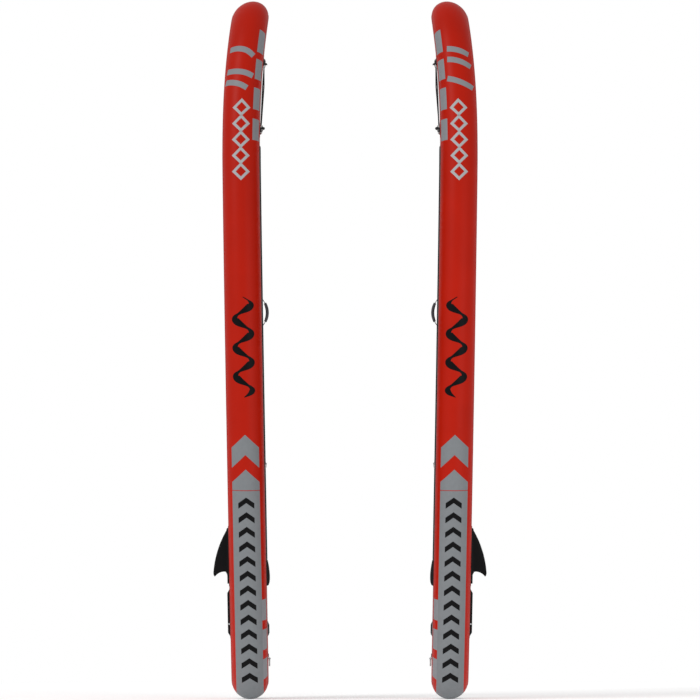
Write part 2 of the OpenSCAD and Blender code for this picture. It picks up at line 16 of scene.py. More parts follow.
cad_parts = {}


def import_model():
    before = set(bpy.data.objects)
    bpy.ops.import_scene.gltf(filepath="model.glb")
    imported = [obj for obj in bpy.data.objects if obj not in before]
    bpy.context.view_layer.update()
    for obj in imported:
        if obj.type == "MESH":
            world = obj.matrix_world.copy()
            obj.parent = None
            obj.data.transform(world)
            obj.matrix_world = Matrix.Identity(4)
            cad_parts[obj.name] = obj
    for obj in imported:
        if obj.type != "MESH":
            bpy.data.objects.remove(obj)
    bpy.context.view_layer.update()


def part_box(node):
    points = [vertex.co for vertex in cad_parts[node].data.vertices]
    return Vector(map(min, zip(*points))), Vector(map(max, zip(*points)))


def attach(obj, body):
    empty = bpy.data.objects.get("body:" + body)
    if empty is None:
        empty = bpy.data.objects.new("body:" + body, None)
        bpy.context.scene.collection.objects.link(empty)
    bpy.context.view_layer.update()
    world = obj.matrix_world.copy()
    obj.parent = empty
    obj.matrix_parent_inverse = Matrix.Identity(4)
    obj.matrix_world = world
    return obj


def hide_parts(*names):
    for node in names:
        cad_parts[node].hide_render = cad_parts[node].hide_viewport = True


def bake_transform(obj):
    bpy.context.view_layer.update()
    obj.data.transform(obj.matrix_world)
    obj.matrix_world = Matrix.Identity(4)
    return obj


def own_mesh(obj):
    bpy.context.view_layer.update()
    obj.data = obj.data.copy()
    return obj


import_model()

SIDES = ("left", "right")
MM = 0.001

# ---- driving dimensions, from the frame ----

rail_low, rail_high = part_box("left_rail_wall")
deck_low, deck_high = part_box("left_deck_skin")
under_low, under_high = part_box("left_bottom_skin")
SKIN = 1.2 * MM
LENGTH = rail_high.z - rail_low.z
WIDTH = rail_high.y - rail_low.y
THICK = deck_high.x - under_high.x + SKIN
RAIL_R = THICK / 2
MID_X = under_low.x + RAIL_R  # world X of a board's middle at the lowest point of its rocker

# ---- the rocker and the outline, by the same rules as the CAD ----

TAIL_RISE = 39 * MM
NOSE_RISE = 50 * MM
TAIL_CURVE = 1.15
NOSE_CURVE = 2.4
ROCKER_X = LENGTH - 650 * MM
TAIL_FLAT = 200 * MM
WIDE_X = LENGTH / 2
REACH = WIDE_X - RAIL_R
HALF = WIDTH / 2 - RAIL_R
SHOULDER = HALF - TAIL_FLAT / 2


def rocker(x):
    """Height of the middle of the thickness."""
    x = np.asarray(x, float)
    aft = np.clip((ROCKER_X - x) / ROCKER_X, 0, None) ** TAIL_CURVE
    fore = np.clip((x - ROCKER_X) / (LENGTH - ROCKER_X), 0, None) ** NOSE_CURVE
    return TAIL_RISE * aft + NOSE_RISE * fore


def rocker_slope(x):
    step = 5 * MM
    return math.atan2(float(rocker(x + step) - rocker(x - step)), 2 * step)


def half_width(x):
    """Half the width of the flat deck."""
    x = np.asarray(x, float)
    room = np.sqrt(np.clip(1 - ((x - WIDE_X) / REACH) ** 2, 0, 1))
    return np.where(x < WIDE_X, TAIL_FLAT / 2 + SHOULDER * room, HALF * room)


def edge_line():
    """The port half of the rail's middle line, tail to nose: x, y, direction of the rail, and distance along."""
    turn = np.radians(np.linspace(90, 0, 1500))
    u = np.arctan2(REACH * np.sin(turn), SHOULDER * np.cos(turn))
    tail = np.stack([WIDE_X - REACH * np.sin(u), TAIL_FLAT / 2 + SHOULDER * np.cos(u), -np.sin(turn), np.cos(turn)])
    turn = turn[::-1][1:]
    u = np.arctan2(REACH * np.sin(turn), HALF * np.cos(turn))
    nose = np.stack([WIDE_X + REACH * np.sin(u), HALF * np.cos(u), np.sin(turn), np.cos(turn)])
    flat = np.array([[RAIL_R], [0], [-1], [0]])
    line = np.concatenate([flat, tail, nose], axis=1)
    steps = np.hypot(np.diff(line[0]), np.diff(line[1]))
    return line, np.concatenate([[0], np.cumsum(steps)])


EDGE, ALONG = edge_line()
HALF_ROUND = float(ALONG[-1])  # along the rail from the middle of the tail to the tip of the nose
REACHED = np.maximum.accumulate(EDGE[0] + RAIL_R * EDGE[2]) + np.arange(len(ALONG)) * 1e-9


def along(x):
    """Distance along the rail at which its widest line is x from the tail."""
    return np.interp(x, REACHED, ALONG)


def rail(s, phi, lift=0.0):
    """Points on the rail: s along it from the middle of the tail, port positive; phi up from its widest line."""
    s, phi, lift = np.broadcast_arrays(*(np.asarray(v, float) for v in (s, phi, lift)))
    side = np.where(s < 0, -1.0, 1.0)
    x, y, nx, ny = (np.interp(np.abs(s), ALONG, row) for row in EDGE)
    out = (RAIL_R + lift) * np.cos(phi)
    px = x + out * nx
    return np.stack([px, side * (y + out * ny), (RAIL_R + lift) * np.sin(phi) + rocker(px)], axis=-1)


def on_deck(x, y, lift=0.0):
    x, y, lift = np.broadcast_arrays(*(np.asarray(v, float) for v in (x, y, lift)))
    return np.stack([x, y, rocker(x) + RAIL_R + lift], axis=-1)


def on_bottom(x, y, lift=0.0):
    points = on_deck(x, y, lift)
    points[..., 2] = 2 * rocker(points[..., 0]) - points[..., 2]
    return points


def world(side, points):
    """Board frame to the shared frame."""
    p = np.asarray(points, float)
    turn = 1.0 if side == "left" else -1.0
    return np.stack([turn * (p[..., 2] + MID_X), -turn * p[..., 1], p[..., 0]], axis=-1)


def stand(side):
    """The same as world(), as a matrix."""
    turn = 1.0 if side == "left" else -1.0
    return Matrix(((0, 0, turn, turn * MID_X), (0, -turn, 0, 0), (1, 0, 0, 0), (0, 0, 0, 1)))


def tangent(side, x, y, height):
    """A frame at this height off the middle of the thickness: X towards the nose, Y to port."""
    place = Matrix.Translation((x, y, float(rocker(x)) + height)) @ Matrix.Rotation(-rocker_slope(x), 4, "Y")
    return stand(side) @ place


def deck_frame(side, x, y, lift=0.0, yaw=0.0, tilt=0.0):
    """A frame on the deck, with Z out of it, then turned."""
    turn = Matrix.Rotation(math.radians(yaw), 4, "Z") @ Matrix.Rotation(math.radians(tilt), 4, "Y")
    return tangent(side, x, y, RAIL_R) @ Matrix.Translation((0, 0, lift)) @ turn


def bottom_frame(side, x, y, lift):
    """A frame on the bottom, with Z out of it."""
    return tangent(side, x, y, -RAIL_R) @ Matrix.Rotation(math.pi, 4, "X") @ Matrix.Translation((0, 0, lift))


def local_box(node):
    """A left node's box in the board's frame: lowest and highest x, y and z."""
    low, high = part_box(node)
    return (low.z, high.z), (-high.y, -low.y), (low.x - MID_X, high.x - MID_X)


def middle(span):
    return (span[0] + span[1]) / 2


# ---- materials ----


class Shader:
    """A node material under construction."""

    def __init__(self, name, roughness=0.5, **sockets):
        self.material = bpy.data.materials.new(name)
        self.material.use_nodes = True
        self.tree = self.material.node_tree
        self.bsdf = self.tree.nodes["Principled BSDF"]
        self.bsdf.inputs["Roughness"].default_value = roughness
        for key, value in sockets.items():
            self.bsdf.inputs[key.replace("_", " ")].default_value = value
        self.height = None

    def node(self, kind, **inputs):
        made = self.tree.nodes.new(kind)
        for key, value in inputs.items():
            self.feed(made, key.replace("_", " "), value)
        return made

    def feed(self, node, key, value):
        socket = node.inputs[key] if not key.isdigit() else node.inputs[int(key)]
        if isinstance(value, bpy.types.NodeSocket):
            self.tree.links.new(value, socket)
        else:
            socket.default_value = value

    def math(self, operation, a, b=0.0):
        made = self.tree.nodes.new("ShaderNodeMath")
        made.operation = operation
        self.feed(made, "0", a)
        self.feed(made, "1", b)
        return made.outputs[0]

    def coordinates(self, kind="Object", scale=(1, 1, 1)):
        source = self.tree.nodes.new("ShaderNodeTexCoord").outputs[kind]
        if scale == (1, 1, 1):
            return source
        return self.node("ShaderNodeMapping", Vector=source, Scale=scale).outputs[0]

    def noise(self, scale, detail=3.0, vector=None):
        made = self.node("ShaderNodeTexNoise", Vector=vector or self.coordinates(), Scale=scale, Detail=detail)
        return made.outputs["Fac"]

    def colour(self, fac, *stops):
        """The base colour runs through the stops, each (place, rgb), as fac goes from 0 to 1."""
        made = self.tree.nodes.new("ShaderNodeValToRGB")
        ramp = made.color_ramp
        while len(ramp.elements) < len(stops):
            ramp.elements.new(0.5)
        for element, (place, rgb) in zip(ramp.elements, stops):
            element.position = place
            element.color = (*rgb, 1)
        self.tree.links.new(fac, made.inputs[0])
        self.tree.links.new(made.outputs[0], self.bsdf.inputs["Base Color"])

    def rough(self, fac, low, high):
        made = self.node("ShaderNodeMapRange", Value=fac, To_Min=low, To_Max=high)
        self.tree.links.new(made.outputs[0], self.bsdf.inputs["Roughness"])

    def bump(self, height, depth, strength=1.0):
        """Adds a relief of this depth, in metres."""
        made = self.node("ShaderNodeBump", Height=height, Distance=depth, Strength=strength)
        if self.height:
            self.tree.links.new(self.height, made.inputs["Normal"])
        self.height = made.outputs[0]
        self.tree.links.new(self.height, self.bsdf.inputs["Normal"])

    def crossed(self, a, b):
        """Two waves that cross, as a height from 0 to 1."""
        both = self.math("MULTIPLY", self.math("SINE", a), self.math("SINE", b))
        return self.math("ADD", self.math("MULTIPLY", both, 0.5), 0.5)

    def weave(self, pitch):
        """Crossing threads."""
        split = self.node("ShaderNodeSeparateXYZ", Vector=self.coordinates())
        x, y, z = (self.math("MULTIPLY", split.outputs[axis], 2 * math.pi / pitch) for axis in "XYZ")
        return self.crossed(self.math("ADD", x, y), z)


def grey(value, tint=(1, 1, 1)):
    return tuple(value * t for t in tint)


def shade(rgb, factor):
    return tuple(min(1.0, c * factor) for c in rgb)


RED = (0.44, 0.0105, 0.002)
BAND_GREY = (0.205, 0.217, 0.228)
PALE_GREY = (0.245, 0.252, 0.268)
BRIGHT_GREY = (0.40, 0.41, 0.42)
BLACK = (0.004, 0.004, 0.0045)


def coated_fabric(name, rgb, roughness=0.40, weave=1.0 * MM):
    """Calendered PVC: a faint cloth under a smooth coat, with slight shifts of tone and handling marks."""
    made = Shader(name, roughness, Specular_IOR_Level=0.10)
    broad = made.noise(5.0, 3.0)
    made.colour(broad, (0.3, shade(rgb, 0.93)), (0.55, rgb), (0.8, shade(rgb, 1.06)))
    made.rough(made.noise(24.0, 5.0), roughness - 0.06, roughness + 0.08)
    made.bump(made.weave(weave), 0.02 * MM, 0.5)
    made.bump(made.noise(700.0, 2.0), 0.02 * MM, 0.35)
    made.bump(made.noise(9.0, 2.0), 0.8 * MM, 0.25)
    return made.material


def printed(name, rgb, roughness=0.42):
    """Ink on the same cloth."""
    made = Shader(name, roughness, Specular_IOR_Level=0.08)
    made.colour(made.noise(60.0, 5.0), (0.25, shade(rgb, 0.96)), (0.75, shade(rgb, 1.04)))
    made.rough(made.noise(24.0, 5.0), roughness - 0.05, roughness + 0.08)
    made.bump(made.weave(1.0 * MM), 0.02 * MM, 0.5)
    made.bump(made.noise(700.0, 2.0), 0.02 * MM, 0.35)
    return made.material


def foam(name, rgb, emboss):
    """Closed-cell foam, with an embossed grid of small diamonds where emboss is set."""
    made = Shader(name, 0.85, Specular_IOR_Level=0.12)
    fine = made.noise(900.0, 4.0)
    made.colour(fine, (0.3, shade(rgb, 0.75)), (0.7, shade(rgb, 1.25)))
    if emboss:
        split = made.node("ShaderNodeSeparateXYZ", Vector=made.coordinates())
        turns = 2 * math.pi / emboss
        ridges = []
        for sign in (1, -1):
            a = made.math("ADD", split.outputs["Z"], made.math("MULTIPLY", split.outputs["Y"], 1.7 * sign))
            ridges.append(made.math("ABSOLUTE", made.math("SINE", made.math("MULTIPLY", a, turns / 2))))
        lower = made.math("MINIMUM", ridges[0], ridges[1])
        made.bump(made.math("MINIMUM", lower, 0.45), 1.6 * MM, 0.9)
    made.bump(fine, 0.25 * MM, 0.5)
    return made.material


def cloth(name, rgb, u_pitch, v_pitch, roughness=0.8):
    """Webbing or a braid: ribs that run along the strap and cross it, laid out on the piece's own UVs."""
    made = Shader(name, roughness, Sheen_Weight=0.08, Sheen_Roughness=0.5, Specular_IOR_Level=0.15)
    split = made.node("ShaderNodeSeparateXYZ", Vector=made.coordinates("UV"))
    u = made.math("MULTIPLY", split.outputs["X"], 2 * math.pi / u_pitch)
    v = made.math("MULTIPLY", split.outputs["Y"], 2 * math.pi / v_pitch)
    height = made.crossed(made.math("ADD", u, v), made.math("SUBTRACT", u, v))
    # The colour follows the weave's relief: painted shade in the dips between the ribs and a painted highlight on
    # their crowns.
    made.colour(height, (0.1, shade(rgb, 0.55)), (0.9, shade(rgb, 1.35)))
    made.bump(height, 0.3 * MM, 0.9)
    made.bump(made.noise(1500.0, 3.0), 0.1 * MM, 0.6)
    return made.material


def moulded(name, rgb, roughness, gloss=0.3):
    """Injection-moulded plastic or rubber, with a fine spark-eroded grain."""
    made = Shader(name, roughness, Specular_IOR_Level=gloss)
    made.colour(made.noise(30.0, 3.0), (0.3, shade(rgb, 0.9)), (0.7, shade(rgb, 1.1)))
    made.rough(made.noise(45.0, 5.0), roughness - 0.05, roughness + 0.1)
    made.bump(made.noise(1100.0, 2.0), 0.05 * MM, 0.5)
    return made.material


def steel(name):
    """Polished stainless wire with fine scratches."""
    made = Shader(name, 0.2, Metallic=1.0)
    scratches = made.noise(900.0, 6.0, made.coordinates("Object", (1, 1, 0.08)))
    made.colour(scratches, (0.3, grey(0.52, (1, 1, 0.98))), (0.7, grey(0.72, (1, 1, 0.99))))
    made.rough(scratches, 0.14, 0.3)
    made.bump(scratches, 0.02 * MM, 0.3)
    return made.material


def floor_surface(name):
    made = Shader(name, 0.9, Specular_IOR_Level=0.05, Emission_Color=(1, 1, 1, 1), Emission_Strength=0.3)
    made.colour(made.noise(1.5, 2.0), (0.3, grey(0.88)), (0.7, grey(0.92)))
    return made.material


HULL = coated_fabric("hull_red", RED)
TAPE = coated_fabric("tape_red", shade(RED, 0.92), 0.42)
PATCH = coated_fabric("patch_red", shade(RED, 0.85), 0.45, 0.8 * MM)
PRINT_GREY = printed("print_grey", BAND_GREY)
PRINT_PALE = printed("print_pale_grey", PALE_GREY)
PRINT_BRIGHT = printed("print_bright_grey", BRIGHT_GREY)
PRINT_BLACK = printed("print_black", BLACK, 0.36)
FOAM_DARK = foam("foam_charcoal", grey(0.020, (1, 1, 1.05)), 9 * MM)
FOAM_BASE = foam("foam_grey", grey(0.11, (1, 1.02, 1.05)), 0)
FOAM_PLAIN = foam("foam_plain", grey(0.018, (1, 1, 1.05)), 0)
BRAID = cloth("elastic_braid", (0.02, 0.02, 0.022), 5 * MM, 1 / 6)
WEBBING = cloth("webbing", (0.016, 0.016, 0.018), 3.2 * MM, 2.4 * MM)
GRIP = cloth("grip_fabric", (0.10, 0.10, 0.11), 1.4 * MM, 1.4 * MM, 0.9)
THREAD = cloth("stitch_thread", (0.30, 0.30, 0.31), 1.2 * MM, 1 / 2)
STITCH_CORE = cloth("drop_stitch_thread", (0.75, 0.75, 0.72), 1.0 * MM, 1.0 * MM)
STEEL = steel("stainless")
FIN_BLACK = moulded("fin_black", (0.0035, 0.0035, 0.004), 0.38, 0.12)
CAP_BLACK = moulded("cap_black", (0.012, 0.012, 0.013), 0.42, 0.2)
SEAL_BLACK = moulded("seal_black", (0.016, 0.016, 0.016), 0.6, 0.2)
VALVE_GREY = moulded("valve_grey", (0.22, 0.22, 0.23), 0.45)
STEM_PALE = moulded("stem_pale", (0.62, 0.62, 0.60), 0.4)

# ---- mesh tools ----


def add_piece(name, part, material, body=None, replaces=(), sharp=35):
    """Points, faces and perhaps UVs as a finished mesh that rides on a body."""
    points, faces, *uvs = part
    mesh = bpy.data.meshes.new(name)
    mesh.from_pydata([tuple(v) for v in points], [], [tuple(int(i) for i in f) for f in faces])
    if uvs:
        layer = mesh.uv_layers.new(name="UVMap")
        corners = np.empty(len(mesh.loops), int)
        mesh.loops.foreach_get("vertex_index", corners)
        layer.data.foreach_set("uv", np.asarray(uvs[0], np.float32)[corners].ravel())
    mesh.materials.append(material)
    mesh.validate()
    return finish_piece(bpy.data.objects.new(name, mesh), body, replaces, sharp)


def body_of(side, moving="board"):
    return f"{side}_{moving}"


def put(side, name, part, place, material, node=None, moving="board", sharp=35):
    """Adds a piece of a board that was drawn in a frame of its own. node is the CAD node it stands for."""
    replaces = (f"{side}_{node}",) if node else ()
    return add_piece(f"{side}_{name}", moved(part, place) if place else part, material, body_of(side, moving),
                     replaces, sharp)


def lay(side, name, part, material, node=None):
    """Adds a piece that was drawn in the board's own frame, without UVs."""
    return put(side, name, (world(side, part[0]), part[1]), None, material, node)


def finish_piece(piece, body, replaces, sharp=35):
    """Smooth except at edges sharper than this angle."""
    bpy.context.scene.collection.objects.link(piece)
    face_outwards(piece.data)
    piece.data.polygons.foreach_set("use_smooth", [True] * len(piece.data.polygons))
    piece.data.set_sharp_from_angle(angle=math.radians(sharp))
    if body:
        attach(piece, body)
    if replaces:
        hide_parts(*replaces)
    return piece


def face_outwards(mesh):
    bm = bmesh.new()
    bm.from_mesh(mesh)
    bmesh.ops.remove_doubles(bm, verts=bm.verts, dist=1e-7)
    bmesh.ops.recalc_face_normals(bm, faces=bm.faces)
    bm.to_mesh(mesh)
    bm.free()


def grid_faces(rows, cols, close_rows=False, close_cols=False, ends=False):
    """Quads of a grid, which may close on itself, and a face over its first and last rows."""
    faces = [range(cols), [(rows - 1) * cols + j for j in reversed(range(cols))]] if ends else []
    for i in range(rows - (not close_rows)):
        for j in range(cols - (not close_cols)):
            i2, j2 = (i + 1) % rows, (j + 1) % cols
            faces.append((i * cols + j, i2 * cols + j, i2 * cols + j2, i * cols + j2))
    return faces


def shell(top, bottom):
    """Closes two matching grids of points into one thin solid: its points and faces."""
    rows, cols = top.shape[:2]
    n = rows * cols
    quads = grid_faces(rows, cols)
    faces = quads + [tuple(n + i for i in reversed(q)) for q in quads]
    rim = [i * cols for i in range(rows)] + [(rows - 1) * cols + j for j in range(1, cols)]
    rim += [i * cols + cols - 1 for i in range(rows - 2, -1, -1)] + [j for j in range(cols - 2, 0, -1)]
    for a, b in zip(rim, rim[1:] + rim[:1]):
        faces.append((a, b, n + b, n + a))
    return np.concatenate([top.reshape(-1, 3), bottom.reshape(-1, 3)]), faces


def cut_into_cells(bm, cuts):
    """Cuts the mesh by planes, so that it can be bent. cuts holds (axis, place)."""
    for axis, place in cuts:
        normal = [0.0, 0.0, 0.0]
        normal[axis] = 1.0
        bmesh.ops.bisect_plane(
            bm, geom=bm.verts[:] + bm.edges[:] + bm.faces[:], dist=1e-7,
            plane_co=[place * c for c in normal], plane_no=normal)


def decal(polygons, cuts, surface, lift, sink):
    """Flat polygons in a surface's own coordinates, cut into cells and laid on it as a thin closed skin."""
    bm = bmesh.new()
    for polygon in polygons:
        bm.faces.new([bm.verts.new((u, v, 0)) for u, v in polygon])
    bmesh.ops.remove_doubles(bm, verts=bm.verts, dist=1e-6)
    bmesh.ops.triangulate(bm, faces=bm.faces[:])
    cut_into_cells(bm, cuts)
    bm.verts.index_update()
    flat = np.array([v.co[:2] for v in bm.verts])
    faces = [[v.index for v in f.verts] for f in bm.faces]
    rim = [[v.index for v in e.verts] for e in bm.edges if len(e.link_faces) == 1]
    bm.free()
    n = len(flat)
    points = np.concatenate([surface(flat[:, 0], flat[:, 1], lift), surface(flat[:, 0], flat[:, 1], -sink)])
    both = faces + [[n + i for i in reversed(f)] for f in faces]
    return points, both + [[a, b, n + b, n + a] for a, b in rim]


def unit_rows(v):
    return v / np.maximum(np.linalg.norm(v, axis=-1, keepdims=True), 1e-12)


def carried_frames(path, closed=False, start=(0.0, 0.0, 1.0)):
    """Two directions square to the path at each point, carried along without twist."""
    ahead = np.roll(path, -1, 0) - np.roll(path, 1, 0)
    if not closed:
        ahead[0] = path[1] - path[0]
        ahead[-1] = path[-1] - path[-2]
    ahead = unit_rows(ahead)
    side = np.empty_like(path)
    last = np.array(start, float)
    if abs(last @ ahead[0]) > 0.95:
        last = np.array((0.0, 1.0, 0.0))
    for i, d in enumerate(ahead):
        last = last - (last @ d) * d
        last = last / np.linalg.norm(last)
        side[i] = last
    return side, np.cross(ahead, side)


def sweep(path, section, closed=False, start=(0.0, 0.0, 1.0), v_length=None):
    """A closed section carried along a path: points, faces and UVs (distance along, distance round)."""
    path = np.asarray(path, float)
    section = np.asarray(section, float)
    side, up = carried_frames(path, closed, start)
    n, m = len(path), section.shape[-2]
    if section.ndim == 2:
        section = np.broadcast_to(section, (n, m, 2))
    points = path[:, None] + section[:, :, :1] * side[:, None] + section[:, :, 1:] * up[:, None]
    faces = grid_faces(n, m, close_rows=closed, close_cols=True, ends=not closed)
    u = np.concatenate([[0], np.cumsum(np.linalg.norm(np.diff(path, axis=0), axis=1))])
    first = section[0]
    v = np.concatenate([[0], np.cumsum(np.linalg.norm(np.diff(first, axis=0), axis=1))])
    if v_length:
        v = v / (v[-1] + np.linalg.norm(first[0] - first[-1])) * v_length
    uvs = np.stack(np.broadcast_arrays(u[:, None], v[None, :]), axis=-1)
    return points.reshape(-1, 3), faces, uvs.reshape(-1, 2)


def circle(radius, sides=16):
    a = np.linspace(0, 2 * math.pi, sides, endpoint=False)
    return np.stack([radius * np.cos(a), radius * np.sin(a)], axis=-1)


def rounded_box(width, height, radius, steps=4):
    """A rectangle with round corners, as a section."""
    points = []
    for k, (i, j) in enumerate(((1, 1), (-1, 1), (-1, -1), (1, -1))):
        for a in np.radians(np.linspace(90 * k, 90 * k + 90, steps + 1)):
            points.append((i * (width / 2 - radius) + radius * math.cos(a),
                           j * (height / 2 - radius) + radius * math.sin(a)))
    return np.array(points)


def eased(path, times=2):
    """Corners of an open path cut twice over, so that it bends smoothly."""
    path = np.asarray(path, float)
    for _ in range(times):
        q = 0.75 * path[:-1] + 0.25 * path[1:]
        r = 0.25 * path[:-1] + 0.75 * path[1:]
        path = np.concatenate([path[:1], np.stack([q, r], 1).reshape(-1, path.shape[1]), path[-1:]])
    return path


def joined(parts):
    """Several (points, faces) or (points, faces, uvs) as one."""
    points, faces, uvs, n = [], [], [], 0
    for part in parts:
        points.append(np.asarray(part[0], float))
        faces += [[n + i for i in f] for f in part[1]]
        uvs.append(part[2] if len(part) > 2 else np.zeros((len(part[0]), 2)))
        n += len(part[0])
    return np.concatenate(points), faces, np.concatenate(uvs)


def moved(part, matrix):
    m = np.array(matrix)
    return (np.asarray(part[0], float) @ m[:3, :3].T + m[:3, 3], *part[1:])


def lathe(profile, sides=64, wobble=None):
    """A profile of (radius, height) turned about Z. wobble(angle) scales the radius of chosen rings."""
    angles = np.linspace(0, 2 * math.pi, sides, endpoint=False)
    rows = []
    for r, h, *notched in profile:
        scale = wobble(angles) if wobble and notched else np.ones_like(angles)
        rows.append(np.stack([r * scale * np.cos(angles), r * scale * np.sin(angles), np.full(sides, h)], -1))
    return np.concatenate(rows), grid_faces(len(rows), sides, close_cols=True, ends=True)


def inset(outline, distance):
    """A closed outline moved inwards. It runs anticlockwise."""
    p = np.asarray(outline, float)
    before = unit_rows(p - np.roll(p, 1, 0))
    after = unit_rows(np.roll(p, -1, 0) - p)
    normal_b = np.stack([-before[:, 1], before[:, 0]], -1)
    normal_a = np.stack([-after[:, 1], after[:, 0]], -1)
    both = unit_rows(normal_a + normal_b)
    stretch = np.clip((both * normal_a).sum(1, keepdims=True), 0.35, None)
    return p + both * distance / stretch


def plate(outlines, low, high, bevel, cuts, surface):
    """A flat sheet with an eased upper edge, bent to a surface. The holes run the other way round."""
    rings = []
    for outline in outlines:
        p = turned(outline, len(rings) == 0)
        rings.append([(p, low), (p, high - bevel), (inset(p, 0.3 * bevel), high - 0.3 * bevel), (inset(p, bevel), high)])
    bm = bmesh.new()
    caps = [[], []]
    for levels in rings:
        rows = [[bm.verts.new((x, y, h)) for x, y in ring] for ring, h in levels]
        n = len(rows[0])
        for lower, upper in zip(rows, rows[1:]):
            for i in range(n):
                j = (i + 1) % n
                bm.faces.new((lower[i], lower[j], upper[j], upper[i]))
        caps[0].append(rows[-1])
        caps[1].append(rows[0])
    for cap in caps:
        flat = [v for ring in cap for v in ring]
        for triangle in tessellate_polygon([[v.co for v in ring] for ring in cap]):
            if len(set(triangle)) == 3:
                bm.faces.new([flat[i] for i in triangle])
    cut_into_cells(bm, cuts)
    bm.verts.index_update()
    co = np.array([v.co[:] for v in bm.verts])
    faces = [[v.index for v in f.verts] for f in bm.faces]
    bm.free()
    return surface(co[:, 0], co[:, 1], co[:, 2]), faces


def turned(outline, anticlockwise):
    """The outline, run the way that is asked for."""
    p = np.asarray(outline, float)
    x, y = p[:, 0], p[:, 1]
    area = np.sum(x * np.roll(y, -1) - np.roll(x, -1) * y)
    return p if (area > 0) == anticlockwise else p[::-1]


def softened(side, node, name, width, material):
    """A copy of a CAD node with its edges eased, which stands for it."""
    bm = bmesh.new()
    bm.from_mesh(bpy.data.objects[f"{side}_{node}"].data)
    bmesh.ops.remove_doubles(bm, verts=bm.verts, dist=1e-6)
    bmesh.ops.dissolve_limit(bm, angle_limit=math.radians(0.5), verts=bm.verts, edges=bm.edges)
    mesh = bpy.data.meshes.new(name)
    bm.to_mesh(mesh)
    bm.free()
    piece = bpy.data.objects.new(name, mesh)
    bpy.context.scene.collection.objects.link(piece)
    edge = piece.modifiers.new("edge", "BEVEL")
    edge.width = width
    edge.segments = 2
    edge.limit_method = "ANGLE"
    edge.angle_limit = math.radians(40)
    bpy.context.view_layer.update()
    baked = bpy.data.meshes.new_from_object(piece.evaluated_get(bpy.context.evaluated_depsgraph_get()))
    bpy.data.objects.remove(piece)
    baked.materials.clear()
    baked.materials.append(material)
    return finish_piece(bpy.data.objects.new(f"{side}_{name}", baked), body_of(side), (f"{side}_{node}",))


# ---- the hull ----

RAIL_STEPS = 40
STATION_GAP = 12 * MM
CORNER_WEIGHT = 0.35  # metres of straight rail that count as one radian of turn


def rail_stations():
    """Places along half the rail, closer together where it turns."""
    heading = np.unwrap(np.arctan2(EDGE[3], EDGE[2]))
    weight = ALONG + CORNER_WEIGHT * np.concatenate([[0], np.cumsum(np.abs(np.diff(heading)))])
    count = int(weight[-1] / STATION_GAP)
    return np.interp(np.linspace(0, weight[-1], count), weight, ALONG)


STATIONS = rail_stations()
ALL_ROUND = np.concatenate([STATIONS, -STATIONS[-2:0:-1]])
RAIL_ROWS = np.linspace(-math.pi / 2, math.pi / 2, RAIL_STEPS + 1)


def hull_rail(side):
    s = ALL_ROUND[:, None]
    loop = np.concatenate([rail(s, RAIL_ROWS[None, :]), rail(s, RAIL_ROWS[None, ::-1], -SKIN)], axis=1)
    faces = grid_faces(loop.shape[0], loop.shape[1], close_rows=True, close_cols=True)
    lay(side, "hull_rail", (loop.reshape(-1, 3), faces), HULL, "rail_wall")


def flat_skin(side, name, node, surface):
    """The deck or the bottom: rows across the board at the rail's own stations."""
    x = np.interp(STATIONS[STATIONS >= TAIL_FLAT / 2], ALONG, EDGE[0])
    x = np.unique(np.round(np.concatenate([[RAIL_R], x]), 7))[:, None]
    y = half_width(x) * np.linspace(-1, 1, 33)[None, :]
    lay(side, name, shell(surface(x, y, 0.0), surface(x, y, -SKIN)), HULL, node)


def seam_tape(side, name, node, surface, sign):
    """The strip over a seam: flat on the deck, and a little way round the rail."""
    width, thick, wrap = 24 * MM, 0.8 * MM, math.radians(14)
    line = rail(ALL_ROUND, math.pi / 2)
    inward = line - rail(ALL_ROUND, 0.0)
    inward[..., 2] = 0
    inward = unit_rows(inward)
    rows = []
    for share, height in ((1.0, -0.2 * MM), (0.97, 0.7 * thick), (0.9, thick), (0.0, thick)):
        p = line + inward * width * share
        rows.append(surface(p[:, 0], p[:, 1], height))
    for share, height in ((0.4, thick), (0.9, thick), (0.97, 0.7 * thick), (1.0, -0.2 * MM)):
        rows.append(rail(ALL_ROUND, sign * (math.pi / 2 - wrap * share), height))
    loop = np.stack(rows, axis=1)
    faces = grid_faces(loop.shape[0], loop.shape[1], close_rows=True, close_cols=True)
    lay(side, name, (loop.reshape(-1, 3), faces), TAPE, node)


# ---- what is printed on the hull ----

LIFT = 0.25 * MM
SINK = 0.1 * MM
BAND = 0.745 * RAIL_R  # half the height of the grey band, seen from the side
BAND_TIP = 955 * MM  # from the tail to the point of the band
BAND_SHOULDER = 902 * MM
BAND_LINE = 866 * MM
ARROW_TIP = 1099 * MM
ARROW_NOTCH = 1015 * MM
MARKS_FROM, MARKS_TO = 60 * MM, 848 * MM
WAVE_FROM, WAVE_TO = 1254 * MM, 1670 * MM
LOZENGES_FROM, LOZENGES_TO = 2157 * MM, 2490 * MM


def rail_side(s, height, lift):
    """The rail in the coordinates of a side view: distance along it, and height off its widest line."""
    return rail(s, np.arcsin(np.clip(np.asarray(height) / RAIL_R, -1, 1)), lift)


def rail_cuts(polygons):
    """The hull's own stations and rows, so that a print lies flat on each of its facets."""
    flat = np.concatenate([np.asarray(p, float) for p in polygons])
    low, high = flat.min(0), flat.max(0)
    lines = [(1, h) for h in RAIL_R * np.sin(RAIL_ROWS) if low[1] < h < high[1]]
    return lines + [(0, s) for s in np.concatenate([-STATIONS[:0:-1], STATIONS]) if low[0] < s < high[0]]


def rail_print(side, name, polygons, material, lift=LIFT):
    """Polygons of (distance from the tail, height), on both sides of the board. polygons may differ by side."""
    parts = []
    for hand in (1, -1):
        shapes = polygons(hand) if callable(polygons) else polygons
        laid = [[(hand * float(along(x)), z) for x, z in p] for p in shapes]
        parts.append(decal(laid, rail_cuts(laid), rail_side, lift, SINK))
    lay(side, name, joined(parts), material)


